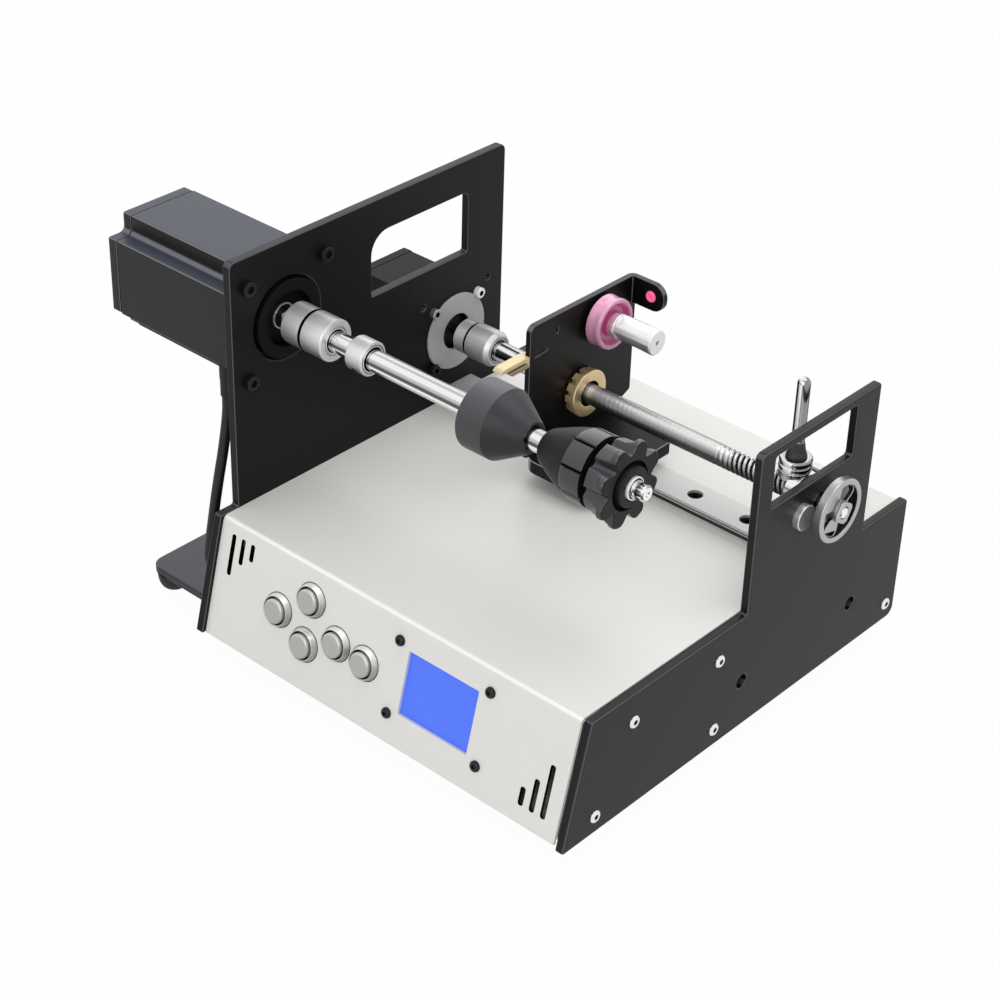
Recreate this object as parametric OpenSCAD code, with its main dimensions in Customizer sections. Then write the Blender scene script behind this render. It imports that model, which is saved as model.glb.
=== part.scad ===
// Wire coil winding machine for the bench.
// A stepper motor turns a spindle that grips a bobbin between two cones.
// A second motor turns a lead screw that moves the wire guide along a rail.
// Lengths are millimetres. +X runs from the motors to the hand wheel, +Y to the back, +Z up.

/* [Housing] */
// Width of the housing between its side plates
tray_w = 214.5; // [206:0.5:240]
// Depth of the housing
tray_d = 242; // [238:1:280]
// Height of the housing's top above its underside
tray_h = 58; // [56:0.5:72]
// How far the control panel leans back over its height
panel_lean = 14.6; // [8:0.2:20]
// Thickness of the folded sheet
sheet_t = 1.5; // [1:0.1:2]
// Outer radius of the fold between panel and top
fold_r = 3; // [2.4:0.2:6]
// Height of the pan's side flanges
pan_flange_h = 12; // [10:0.5:16]
// Height of the cover's side flanges
cover_flange_h = 22; // [18:0.5:26]
// Width of a vent slot in the panel
vent_w = 2.1; // [1.5:0.1:3]
// Distance from vent slot to vent slot
vent_pitch = 6.2; // [5:0.1:8]

/* [Side plates] */
// Thickness of the side plates
plate_t = 4.5; // [3:0.1:6]
// Rise of the left plate above the housing
left_rise = 124.5; // [118:0.5:150]
// Front edge of the left plate's tall part
left_front = 23.5; // [18:0.5:26]
// Back edge of the left plate's tall part
left_back = 201; // [195:0.5:225]
// Rise of the right plate above the housing
right_rise = 80.5; // [80:0.5:100]
// Front edge of the right plate's tall part
right_front = 119.5; // [100:0.5:122]
// Back edge of the right plate's tall part
right_back = 206; // [200:0.5:230]
// Radius of the plates' top corners
plate_corner_r = 3.5; // [1:0.5:6]
// Length of the window in the left plate
left_window_l = 65; // [50:0.5:70]
// Height of the window in the left plate
left_window_h = 31.7; // [24:0.1:36]
// Length of the window in the right plate
right_window_l = 59.5; // [45:0.5:64]
// Height of the window in the right plate
right_window_h = 26; // [20:0.1:26]

/* [Base] */
// Reach of the base plate to the left of the housing
base_reach = 61.5; // [50:0.5:90]
// Thickness of the base plate
base_t = 4; // [3:0.1:6]
// Front edge of the base plate, behind the panel's foot
base_front = 19; // [10:0.5:24]
// Back edge of the base plate
base_back = 218; // [200:0.5:230]
// Radius of the base plate's left corners
base_corner_r = 7; // [3:0.5:12]
// Radius of a rubber foot
foot_r = 8; // [5:0.1:10]
// Height of a rubber foot
foot_h = 8; // [5:0.1:12]

/* [Spindle] */
// Distance of the spindle's axis behind the panel's foot
spindle_y = 57; // [55:0.5:60]
// Rise of the spindle's axis above the housing
spindle_rise = 86; // [80:0.5:92]
// Width across the spindle motor
spindle_motor_w = 57; // [50:0.5:60]
// Length of the spindle motor without its end cap
spindle_motor_l = 77.7; // [50:0.5:110]
// Radius of the spindle shaft
shaft_r = 5; // [4.5:0.1:6]
// Radius of the threaded stud at the spindle's free end
stud_r = 4; // [3:0.1:4.2]
// Radius of the cones' bodies
cone_r = 16.2; // [12:0.1:18]
// Radius of the left cone's small end
cone_tip_r = 7.2; // [6.6:0.1:9]
// Place of the left cone's back face along the spindle
left_cone_x = 117; // [90:0.5:120]
// Gap between the two cones
cone_gap = 7.7; // [6:0.1:20]
// Radius to the tips of the hand nut's lobes
lobe_reach = 19.4; // [17.5:0.1:22]
// Number of lobes round the hand nut
lobe_count = 8; // [6:1:10]

/* [Traverse] */
// Distance of the lead screw's axis behind the panel's foot
screw_y = 167.5; // [166:0.5:172]
// Rise of the lead screw's axis above the housing
screw_rise = 36; // [35:0.5:38]
// Width across the guide motor
guide_motor_w = 42.3; // [39:0.1:46]
// Length of the guide motor without its end cap
guide_motor_l = 40.9; // [30:0.1:60]
// Radius of the lead screw
screw_r = 5; // [4.5:0.1:5.5]
// Place of the wire guide's plate along the lead screw
carriage_x = 77; // [72:0.5:95]
// Radius of the guide pulley
pulley_r = 12.7; // [11:0.1:15]
// Width of the guide pulley
pulley_w = 8.2; // [6:0.1:12]
// Radius of the hand wheel
wheel_r = 15.3; // [13:0.1:20]
// Radius of the guide post
post_r = 3; // [2.5:0.1:3.2]
// Height of the guide post above its foot
post_h = 45.5; // [30:0.5:60]

/* [Controls] */
// Radius of a button's cap
cap_r = 6.25; // [5:0.05:6.8]
// Height of a cap above its bezel
cap_rise = 3; // [2:0.1:5]
// Travel of a button
button_travel = 1; // [0.5:0.1:1.4]
// Width of the display's window
lcd_w = 40.6; // [34:0.1:42]
// Height of the display's window
lcd_h = 30.8; // [26:0.1:32]

/* [Cable] */
// Diameter of the motor's cable
cable_d = 5; // [4:0.1:5.4]

/* [Hidden] */
$fn = 64;

// Clearances and overruns
over = 2;
running_fit = 0.05;
seat_fit = 0.02;
hole_play = 0.2;
body_gap = 0.3;
arc_steps = 8;

// Panel slope, with its length measured along the slope
panel_tilt = atan2(panel_lean, tray_h);
panel_len = sqrt(panel_lean * panel_lean + tray_h * tray_h);

// Heights of the two axes
spindle_z = tray_h + spindle_rise;
screw_z = tray_h + screw_rise;

// Side plates
plate_proud = 2;
right_set = 1.6;
low_lip = 0.5;
rear_lip = 3;
inner_corner_r = 1.2;
rear_corner_r = 5;
left_top = tray_h + left_rise;
right_top = tray_h + right_rise;
left_window_y = 110.5;
left_window_sink = 17;
left_window_big_r = 11;
window_r = 3;
window_edge_r = 1;
right_window_set = 10;
right_window_sink = 4.5;
spare_hole_r = 1.6;
spare_front_set = 22.1;
spare_back_set = 23.3;
spare_rise = 20.5;

// Screws that hold the side plates to the pan and the cover
plate_screw_head_r = 3;
plate_screw_head_h = 1.2;
plate_screw_r = 1.5;
plate_screw_socket_r = 1.4;
low_screw_z = 5.6;
low_screw_front = 20.8;
mid_screw_y = 101.4;
low_screw_back_set = 8.2;
high_screw_drop = 15;
high_screw_front = 43.4;
supply_hole_r = 3.5;
supply_hole_deep = 2.6;
supply_hole_z = 21.5;
supply_hole_front_set = 8.4;
supply_hole_back_set = 9.3;

// Base plate and feet
foot_flat_r = 4.5;
foot_stud_r = 2;
foot_stud_h = 2.6;
foot_left_inset = 9;
foot_front_inset = 7.5;
foot_right_inset = 34;
foot_right_set = 17;
foot_back_inset = 11;
feet = [
    [-base_reach + foot_left_inset, base_front + foot_front_inset],
    [-base_reach + foot_left_inset, base_back - foot_back_inset],
    [tray_w - foot_right_inset, base_front + foot_right_set],
    [tray_w - foot_right_inset, base_back - foot_back_inset]
];

// Pan and cover
pan_front = 4;
pan_flange_front = 14;
standoff_h = 6;
standoff_r = 3;
cover_flange_front = 24;
cover_flange_back = 5;
slot_w = 3.4;
slot_l = 9;
slot_back_set = 4;
slot_inset = 46.5;
vent_edge = 8.4;
vent_top_set = 6;
vent_bottom = 8.3;
left_vent_shares = [0.343, 0.214, 0.144];
right_vent_shares = [0.43, 0.264, 0.15];
rear_vent_count = 7;
rear_vent_l = 26;
rear_vent_z = 16;
rear_vent_x = 30;

// Power inlet in the rear wall
inlet_set = 54.5;
inlet_x = tray_w - inlet_set;
inlet_z = 28;
inlet_w = 27;
inlet_h = 20;
inlet_deep = 19;
inlet_flange_w = 46;
inlet_flange_h = 25;
inlet_flange_t = 2;
inlet_mouth_w = 24;
inlet_mouth_h = 16;
inlet_mouth_deep = 16;
inlet_pin_w = 2;
inlet_pin_h = 4;
inlet_pin_l = 12;
inlet_pin_root = 1;
inlet_pin_pitch = 7;
inlet_screw_r = 1.7;
inlet_cut = 5;

// Electronics on the pan
board_x = 18;
board_y = 32;
board_d = 66;
board_t = 1.6;
board_inset = 5;
chip_w = 14;
chip_h = 2;
terminal_w = 10;
terminal_h = 10;
terminal_d = 8;
terminal_gap = 4;
driver_x = 20;
driver_y = 106;
driver_d = 70;
driver_h = 24;
driver_gap = 8;
driver_base_h = 18;
driver_fins = 8;
driver_fin_t = 2;
supply_x_inset = 2.5;
supply_back_gap = 11;
supply_w = 97;
supply_d = 100;
supply_h = 34;
driver_supply_gap = 7;
board_gap = 5;
supply_terminal_h = 12;
supply_terminal_d = 14;
supply_x = tray_w - supply_x_inset - supply_w;
supply_y = tray_d - inlet_deep - supply_back_gap - supply_d;
driver_w = (supply_x - driver_x - driver_gap - driver_supply_gap) / 2;
board_w = supply_x - board_x - board_gap;
terminal_pitch = terminal_w + terminal_gap;
terminal_count = floor((board_w - board_inset) / terminal_pitch);
supply_hole_front = supply_y + supply_hole_front_set;
supply_hole_back = supply_y + supply_d - supply_hole_back_set;

// Display behind the panel
lcd_x = 120.5;
lcd_t = 16;
lcd_border = 2;
lcd_glass_t = 3;
lcd_board_t = 1.6;
lcd_screw_x_set = 6;
lcd_screw_t_set = 2.4;
lcd_screw_r = 1.4;
lcd_screw_head_r = 2.6;
lcd_screw_head_h = 1.6;
lcd_screw_l = 9;
lcd_post_r = 2.6;
lcd_board_edge = 3.4;
lcd_chip_t = 1.5;

// Buttons
pad_x = 61;
pad_t = 31;
pad_side = 18.5;
pad_up = 13.2;
pad_down = 9;
enter_x_set = 36.2;
enter_t_set = -1.3;
bezel_h = 3;
bezel_play = 0.35;
bezel_wall = 1;
bezel_flare = 0.9;
bezel_top_wall = 0.7;
bezel_deep = 12;
switch_t = 3;
cap_deep = 6;
cap_round = 0.8;
stem_r = 2;
stem_l = 4.4;
stem_play = 0.35;
button_places = [
    [pad_x - pad_side, pad_t],
    [pad_x, pad_t + pad_up],
    [pad_x, pad_t - pad_down],
    [pad_x + pad_side, pad_t],
    [pad_x + enter_x_set, pad_t + enter_t_set]
];

// Spindle motor
motor_notch = 9.4;
motor_notch_r = 3;
motor_edge_r = 0.8;
motor_flange_t = 5;
motor_flange_r = 5;
motor_cap_l = 5.8;
motor_cap_dish_r = 19;
motor_cap_dish = 1;
motor_pilot_r = 19.05;
motor_pilot_h = 1.6;
motor_pilot_dish_r = 13.5;
motor_pilot_dish = 1;
motor_hole_r = 20.5;
motor_bolt_pitch = 47.14;
motor_bolt_r = 2.4;
motor_bolt_head_r = 4;
motor_bolt_head_h = 2.8;
motor_bolt_socket_r = 2.2;
motor_bolt_socket = 1.6;
motor_shaft_r = 3.175;
motor_shaft_in = 26;

// Couplings, shaft and collar of the spindle
coupling_r = 10;
coupling_gap = 3.7;
coupling_a_l = 13.4;
coupling_spider_t = 0.9;
coupling_b_l = 12.8;
coupling_chamfer = 0.5;
coupling_screw_r = 1.6;
coupling_nose = 1;
spider_r = 8.8;
coupling_split_x = coupling_gap + coupling_a_l;
coupling_b_x = coupling_split_x + coupling_spider_t;
coupling_end_x = coupling_b_x + coupling_b_l;
collar_set = 13;
collar_l = 10.1;
collar_wall = 3.1;
collar_slit = 1.2;

// Cones and hand nut
cone_barrel_l = 14.5;
cone_taper_l = 15.5;
cone_chamfer = 0.8;
cone_dish_r = 10;
cone_dish = 2;
right_tip_r = 7.5;
ogive_l = 20;
ogive_r = 15.5;
ogive_arc = 60;
band_r = 15.9;
band_l = 10;
pad_groove_w = 1.1;
pad_groove = 1;
neck_r = 13.2;
neck_l = 2.7;
grip_l = 11.3;
grip_r = 16.4;
star_l = 2.6;
star_root_r = 14;
lobe_r = 4.1;
nut_dish_r = 11;
nut_dish = 1.4;
nut_boss_r = 9;
nut_boss_l = 2;
nut_bore_play = 1.4;
insert_wall = 1.2;
insert_l = 16;
insert_proud = 3;
stud_tail = 9;
stud_neck_x = 3.7;
stud_neck_l = 1;
stud_neck_r = 3.1;
stud_end_r = 3.7;
stud_set = 15.3;
tip_chamfer = 0.8;
left_cone_end = left_cone_x + cone_barrel_l + cone_taper_l;
right_cone_x = left_cone_end + cone_gap;
band_x = right_cone_x + ogive_l;
nut_x = band_x + band_l + body_gap;
grip_x = nut_x + neck_l - body_gap;
nut_end = grip_x + grip_l;
stud_x = right_cone_x + stud_set;
spindle_end = nut_end + stud_tail;

// Guide motor
guide_pilot_r = 11;
guide_pilot_h = 2;
guide_cap_l = 5.2;
guide_chamfer = 4.6;
guide_flange_t = 8;
guide_waist = 0.4;
guide_bolt_pitch = 31;
guide_bolt_r = 1.45;
guide_bolt_l = 4.5;
guide_bolt_head_r = 2.75;
guide_bolt_head_h = 3;
guide_bolt_socket_r = 1.4;
guide_bolt_socket = 1.6;
disc_r = 19.7;
disc_hole_r = 9.3;
disc_t = 1.3;
guide_shaft_r = 2.5;
guide_shaft_in = 20;

// Lead screw, its coupling and its hand wheel
screw_coupling_gap = 6.2;
screw_coupling_a_r = 8.4;
screw_coupling_a_l = 7.7;
screw_coupling_b_r = 9;
screw_coupling_b_l = 15;
journal_r = 4;
thread_end_r = 3;
wheel_gap = 6;
wheel_w = 5;
wheel_rim = 2.8;
wheel_web_t = 2;
wheel_web_set = 1.6;
wheel_hub_r = 4.8;
wheel_hub_gap = 2;
wheel_bar = 3;
wheel_edge = 0.8;
wheel_nut_r = 4.4;
wheel_nut_l = 3;
wheel_nut_set = 1.4;
screw_coupling_split_x = screw_coupling_gap + screw_coupling_a_l;
plate_outer_x = tray_w + plate_t;
wheel_x = plate_outer_x + wheel_gap;
wheel_nut_x = wheel_x + wheel_w - wheel_nut_set;

// End block on the right plate, with the guide post on its lug
block_stand = 10.5;
block_head_l = 6.2;
block_head_r = 9.2;
block_neck_r = 6.4;
block_flange_t = 3;
block_flange_r = 6.2;
block_flange_mid_r = 7.6;
block_bolt_set = 15;
block_bolt_r = 2.9;
block_bolt_head_r = 6.1;
block_bolt_head_h = 3.2;
block_bolt_crown = 0.8;
block_bolt_tail = 1.5;
block_bore_play = 0.4;
block_lug_r = 7.4;
block_lug_t = 3.8;
block_lug_gap = 1.2;
block_thread_deep = 3.1;
bearing_r = 8;
bearing_t = 5;
bearing_set = 0.6;
bearing_ring = 1.2;
bearing_dish = 0.5;
post_back_set = 1.5;
post_y_set = 1.8;
post_flare_r = 6.2;
post_flare_h = 8;
post_stud_l = 1.8;
post_nut_r = 7.6;
post_nut_h = 6;
post_nut_groove = 0.9;
post_nut_groove_h = 1.2;
block_x = tray_w - block_stand;
post_x = block_x - post_back_set;
post_y = screw_y + post_y_set;
post_z = screw_z + screw_r + block_lug_gap + block_lug_t;
journal_x = block_x + bearing_set / 2;

// Guide rail and carriage
rail_w = 17;
rail_h = 6.6;
rail_y_set = 3.5;
rail_groove = 1.2;
rail_groove_h = 2.4;
rail_hole_r = 2;
rail_head_r = 3.75;
rail_head_deep = 3.4;
rail_pitch = 30;
rail_first = 29;
rail_screw_r = 1.4;
rail_screw_head_r = 2.9;
rail_screw_head_h = 2.4;
rail_screw_tail = 3;
rail_y = screw_y + rail_y_set;
rail_top = tray_h + rail_h;
rail_count = floor((tray_w - 2 * rail_head_r - rail_first) / rail_pitch) + 1;
slab_w = 41.5;
slab_t = 6.6;
slab_front_set = 36.5;
slab_back_set = 23.5;
slab_corner_r = 8;
slab_rear_r = 2;
skirt_w = 4;
skirt_drop = 1.6;
skirt_inset = 5;
guide_plate_t = 3;
guide_front_set = 36.5;
guide_back_set = 38.5;
guide_rise = 69.1;
guide_corner_r = 3;
arm_l = 19;
arm_h = 14.3;
arm_t = 3;
eyelet_set = 11.2;
eyelet_drop = 7.1;
eyelet_r = 2.7;
eyelet_lip = 0.7;
eyelet_lip_t = 0.9;
eyelet_bore_r = 1;
guide_slot_set = 3.2;
guide_slot_l = 9.2;
guide_slot_h = 2.4;
guide_slot_drop = 15;
guide_key_set = 18.4;
guide_key_drop = 8.5;
guide_key_w = 1.6;
guide_key_h = 3.6;
slab_z = rail_top + body_gap;
slab_top = slab_z + slab_t;
guide_front = screw_y - guide_front_set;
guide_back = screw_y + guide_back_set;
guide_top = slab_top + guide_rise;
guide_face_x = carriage_x + guide_plate_t;

// Lead nut
nut_shank_r = 6.6;
nut_shank_l = 5;
nut_castle_r = 8.2;
nut_castle_l = 3.5;
nut_flange_r = 11.8;
nut_flange_t = 3;
nut_slots = 8;
nut_slot_w = 1.3;

// Wire finger
finger_l = 19.5;
finger_lower_l = 13.5;
finger_w = 5.5;
finger_leaf_t = 2.4;
finger_slot = 1.1;
finger_drop = 14.6;
finger_tab_t = 1.5;
finger_tab_l = 14;
finger_tip_r = 1.1;

// Pulley and its axle
pulley_y_set = 12.1;
pulley_z_set = 33.2;
pulley_bore_r = 3;
pulley_groove = 0.6;
pulley_groove_w = 4.2;
pulley_lip = 1.2;
pulley_dish_r = 8.6;
pulley_dish = 2.2;
axle_collar_r = 4.8;
axle_collar_l = 1.4;
axle_handle_r = 6.2;
axle_handle_l = 24.5;
axle_flat = 1.2;
axle_hole_r = 1;
axle_hole_deep = 6;
axle_nut_r = 5;
axle_nut_l = 3.2;
pulley_x = guide_face_x + axle_collar_l + body_gap;
pulley_y = screw_y + pulley_y_set;
pulley_z = screw_z + pulley_z_set;
axle_handle_x = pulley_x + pulley_w + body_gap;

// Motor cable, from the gland in the motor's lower front notch to the grommet in the left plate
cable_sides = 10;
gland_r = 3.2;
gland_l = 7;
boot_l = 10;
gland_x = -14;
gland_y = 31.7;
grommet_y = 19;
grommet_z = 16.5;
grommet_r = 5;
grommet_lip = 2;
cable_route = [
    [-14, 31.7, 107.9], [-14, 31.5, 101], [-14.2, 30.3, 92], [-14.6, 28.2, 80], [-15, 25.6, 68],
    [-15.5, 23.3, 56], [-16, 21.5, 45], [-16.6, 20, 35], [-17, 19.2, 27.5], [-16.3, 19, 23.2],
    [-14.4, 19, 19.7], [-11.6, 19, 17.3], [-8.6, 19, 16.6], [-6.5, 19, 16.5]
];
gland_top = spindle_z - spindle_motor_w / 2 + motor_notch;

// The part stands with the middle of its box over the origin
box_low_x = -plate_t - spindle_motor_l - motor_cap_l;
box_high_x = wheel_nut_x + wheel_nut_l;
box_low_y = -plate_proud;
box_high_y = tray_d + inlet_flange_t;
origin_shift = [-(box_low_x + box_high_x) / 2, -(box_low_y + box_high_y) / 2, base_t + foot_h];

// Colours
charcoal = "#3c3d40";
sheet_grey = "#dddcd8";
motor_grey = "#565961";
slab_grey = "#5b5e66";
black = "#1c1c1e";
silver = "#c2c3c6";
steel = "#a9abb0";
brass = "#c9a860";
pink = "#df96bb";

function unit(v) = v / norm(v);
function lean_at(z) = panel_lean * z / tray_h;

// Points of one rounded corner of an outline, from the corner before to the corner after
function corner_points(before, at, after, r) =
    let (
        u = unit(before - at),
        v = unit(after - at),
        half = atan2(norm(u - v), norm(u + v)),
        mid = at + unit(u + v) * r / sin(half),
        a = at + u * r / tan(half) - mid,
        b = at + v * r / tan(half) - mid,
        start = atan2(a[1], a[0]),
        turn = atan2(a[0] * b[1] - a[1] * b[0], a * b)
    )
    [for (i = [0:arc_steps]) mid + r * [cos(start + turn * i / arc_steps), sin(start + turn * i / arc_steps)]];

// Outline through corners given as [across, up, radius]
function outline(corners) = [
    for (i = [0:len(corners) - 1])
        let (
            n = len(corners),
            c = corners[i],
            p = corners[(i + n - 1) % n],
            q = corners[(i + 1) % n],
            at = [c[0], c[1]]
        )
        each c[2] > 0 ? corner_points([p[0], p[1]], at, [q[0], q[1]], c[2]) : [at]
];

function box_outline(x0, y0, x1, y1, r) = outline([[x0, y0, r], [x1, y0, r], [x1, y1, r], [x0, y1, r]]);

// Puts the whole model over the origin
module placed() {
    translate(origin_shift) children();
}

// Extrudes an outline drawn in Y and Z along X
module plate_x(x, t) {
    translate([x, 0, 0]) rotate([90, 0, 90]) linear_extrude(t) children();
}

// Turns a profile of [radius, place along X] about an axis at y, z
module turned_x(y, z, points) {
    translate([0, y, z]) rotate([0, 90, 0]) rotate_extrude() polygon(points);
}

// A round bar or hole along X
module rod_x(x, y, z, r, l) {
    translate([x, y, z]) rotate([0, 90, 0]) cylinder(r = r, h = l);
}

// Places children on the panel, local X across, Y up the slope, Z out of the face
module on_panel(x, t) {
    rotate([90 - panel_tilt, 0, 0]) translate([x, t, 0]) children();
}

// The four corners of a square bolt pattern about an axis
module four_at(y, z, pitch) {
    for (sy = [-1, 1])
        for (sz = [-1, 1])
            translate([0, y + sy * pitch / 2, z + sz * pitch / 2]) children();
}

// Base plate and feet

module base_plate() {
    color(slab_grey) placed() translate([0, 0, -base_t]) difference() {
        linear_extrude(base_t) polygon(outline([
            [-base_reach, base_front, base_corner_r],
            [tray_w, base_front, 0],
            [tray_w, base_back, 0],
            [-base_reach, base_back, base_corner_r]
        ]));
        for (f = feet)
            translate([f[0], f[1], -over]) cylinder(r = foot_stud_r + seat_fit, h = base_t + 2 * over);
    }
}

// A domed rubber foot with a stud that sits in the base plate
module foot() {
    rotate_extrude() polygon(concat(
        [[0, -foot_h]],
        [for (i = [0:arc_steps])
            [foot_flat_r + (foot_r - foot_flat_r) * sin(90 * i / arc_steps),
             -foot_h * cos(90 * i / arc_steps)]],
        [[foot_stud_r, 0], [foot_stud_r, foot_stud_h], [0, foot_stud_h]]
    ));
}

module rubber_feet() {
    color(black) placed() for (f = feet) translate([f[0], f[1], -base_t]) foot();
}

// Pan: floor, rear wall and two low side flanges of one folded sheet

module chassis_pan() {
    color(sheet_grey) placed() difference() {
        union() {
            translate([0, pan_front, 0]) cube([tray_w, tray_d - pan_front, sheet_t]);
            translate([0, tray_d - sheet_t, 0]) cube([tray_w, sheet_t, tray_h - sheet_t]);
            for (x = [0, tray_w - sheet_t])
                translate([x, pan_flange_front, 0])
                    cube([sheet_t, tray_d - pan_flange_front, pan_flange_h]);
            for (x = [board_x + board_inset, board_x + board_w - board_inset])
                for (y = [board_y + board_inset, board_y + board_d - board_inset])
                    translate([x, y, 0]) cylinder(r = standoff_r, h = sheet_t + standoff_h);
        }
        low_screw_holes();
        inlet_opening();
        for (i = [0:rear_vent_count - 1])
            translate([rear_vent_x + i * vent_pitch, tray_d - sheet_t - over, rear_vent_z])
                cube([vent_w, sheet_t + 2 * over, rear_vent_l]);
    }
}

module low_screw_holes() {
    for (y = [low_screw_front, mid_screw_y, tray_d - low_screw_back_set])
        rod_x(-over - plate_t, y, low_screw_z, plate_screw_r + seat_fit, tray_w + 2 * (plate_t + over));
}

module high_screw_holes() {
    for (y = [high_screw_front, mid_screw_y])
        rod_x(-over - plate_t, y, tray_h - high_screw_drop, plate_screw_r + seat_fit,
              tray_w + 2 * (plate_t + over));
}

module inlet_opening() {
    translate([inlet_x - inlet_w / 2 - hole_play, tray_d - sheet_t - over, inlet_z - inlet_h / 2 - hole_play])
        cube([inlet_w + 2 * hole_play, sheet_t + 2 * over, inlet_h + 2 * hole_play]);
    for (s = [-1, 1])
        translate([inlet_x + s * (inlet_flange_w + inlet_w) / 4, tray_d + over, inlet_z])
            rotate([90, 0, 0]) cylinder(r = inlet_screw_r, h = sheet_t + 2 * over);
}

// Cover: sloping control panel and top of one folded sheet, with flanges down its sides

function fold_points(r, from, to) =
    let (mid = [(fold_r + (tray_h - fold_r) * sin(panel_tilt)) / cos(panel_tilt), tray_h - fold_r])
    [for (i = [0:arc_steps])
        mid + r * [cos(from + (to - from) * i / arc_steps), sin(from + (to - from) * i / arc_steps)]];

module housing_cover() {
    color(sheet_grey) placed() difference() {
        union() {
            plate_x(0, tray_w) polygon(concat(
                [[0, 0]],
                fold_points(fold_r, 180 - panel_tilt, 90),
                [[tray_d, tray_h], [tray_d, tray_h - sheet_t]],
                fold_points(fold_r - sheet_t, 90, 180 - panel_tilt),
                [[sheet_t / cos(panel_tilt), 0]]
            ));
            for (x = [0, tray_w - sheet_t])
                translate([x, cover_flange_front, tray_h - cover_flange_h])
                    cube([sheet_t, tray_d - sheet_t - cover_flange_back - cover_flange_front,
                          cover_flange_h - sheet_t / 2]);
        }
        high_screw_holes();
        panel_openings();
        rail_holes(rail_screw_r + hole_play, tray_h - sheet_t - over, 2 * over + sheet_t);
        for (i = [0, 1])
            translate([tray_w - slot_inset - i * slot_w, tray_d - slot_back_set - slot_w - 2 * i * slot_w,
                       tray_h - sheet_t - over])
                cube([slot_l, slot_w, sheet_t + 2 * over]);
    }
}

// A slot with round ends, standing up the panel
module panel_slot(x, low, high) {
    on_panel(0, 0) translate([0, 0, -sheet_t - over]) linear_extrude(sheet_t + 2 * over)
        polygon(box_outline(x - vent_w / 2, low, x + vent_w / 2, high, vent_w * 0.4));
}

module panel_openings() {
    for (i = [0:2]) {
        panel_slot(vent_edge + i * vent_pitch, panel_len * (1 - left_vent_shares[i]) - vent_top_set,
                   panel_len - vent_top_set);
        panel_slot(tray_w - vent_edge - i * vent_pitch, vent_bottom,
                   vent_bottom + panel_len * right_vent_shares[i]);
    }
    on_panel(lcd_x, lcd_t) translate([0, 0, -sheet_t - over]) cube([lcd_w, lcd_h, sheet_t + 2 * over]);
    lcd_screw_places() translate([0, 0, -sheet_t - over])
        cylinder(r = lcd_screw_r + hole_play, h = sheet_t + 2 * over);
    for (p = button_places)
        on_panel(p[0], p[1]) translate([0, 0, -sheet_t - over])
            cylinder(r = cap_r + bezel_play + bezel_wall + seat_fit, h = sheet_t + 2 * over);
}

// Side plates

module left_side_plate() {
    low_z = tray_h + low_lip;
    rear_z = tray_h + rear_lip;
    window_top = left_top - left_window_sink;
    color(charcoal) placed() difference() {
        plate_x(-plate_t, plate_t) difference() {
            polygon(outline([
                [-plate_proud, 0, 0],
                [-plate_proud + lean_at(low_z), low_z, inner_corner_r],
                [left_front, low_z, inner_corner_r],
                [left_front, left_top, plate_corner_r],
                [left_back, left_top, plate_corner_r],
                [left_back, rear_z, inner_corner_r],
                [tray_d, rear_z, plate_corner_r],
                [tray_d, 0, 0]
            ]));
            polygon(outline([
                [left_window_y, window_top - left_window_h, window_edge_r],
                [left_window_y + left_window_l, window_top - left_window_h, window_edge_r],
                [left_window_y + left_window_l, window_top, window_r],
                [left_window_y, window_top, left_window_big_r]
            ]));
        }
        low_screw_holes();
        high_screw_holes();
        rod_x(-plate_t - over, spindle_y, spindle_z, motor_hole_r, plate_t + 2 * over);
        four_at(spindle_y, spindle_z, motor_bolt_pitch)
            rod_x(-plate_t - over, 0, 0, motor_bolt_r + hole_play, plate_t + 2 * over);
        rod_x(-plate_t - over, screw_y, screw_z, guide_pilot_r + hole_play, plate_t + 2 * over);
        four_at(screw_y, screw_z, guide_bolt_pitch)
            rod_x(-plate_t - over, 0, 0, guide_bolt_r + hole_play, plate_t + 2 * over);
        for (y = [screw_y - spare_front_set, screw_y + spare_back_set])
            rod_x(-plate_t - over, y, screw_z + spare_rise, spare_hole_r, plate_t + 2 * over);
        rod_x(-plate_t - over, grommet_y, grommet_z, grommet_r, plate_t + 2 * over);
    }
}

module right_side_plate() {
    low_z = tray_h - low_lip;
    rear_z = tray_h + rear_lip;
    window_top = right_top - right_window_sink;
    window_front = right_front + right_window_set;
    color(charcoal) placed() difference() {
        plate_x(tray_w, plate_t) difference() {
            polygon(outline([
                [right_set - lean_at(base_t), -base_t, inner_corner_r],
                [right_set + lean_at(low_z), low_z, inner_corner_r],
                [right_front, low_z, inner_corner_r],
                [right_front, right_top, plate_corner_r],
                [right_back, right_top, inner_corner_r],
                [right_back, rear_z, inner_corner_r],
                [tray_d, rear_z, inner_corner_r],
                [tray_d, -base_t, rear_corner_r]
            ]));
            polygon(box_outline(window_front, window_top - right_window_h,
                                window_front + right_window_l, window_top, window_r / 2));
        }
        low_screw_holes();
        high_screw_holes();
        rod_x(tray_w - over, screw_y, screw_z, journal_r + 2 * block_bore_play, plate_t + 2 * over);
        for (s = [-1, 1])
            rod_x(tray_w - over, screw_y + s * block_bolt_set, screw_z, block_bolt_r + hole_play,
                  plate_t + 2 * over);
        for (y = [supply_hole_front, supply_hole_back]) {
            rod_x(plate_outer_x - supply_hole_deep, y, supply_hole_z, supply_hole_r,
                  supply_hole_deep + over);
            rod_x(tray_w - over, y, supply_hole_z, plate_screw_r, plate_t + 2 * over);
        }
    }
}

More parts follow.
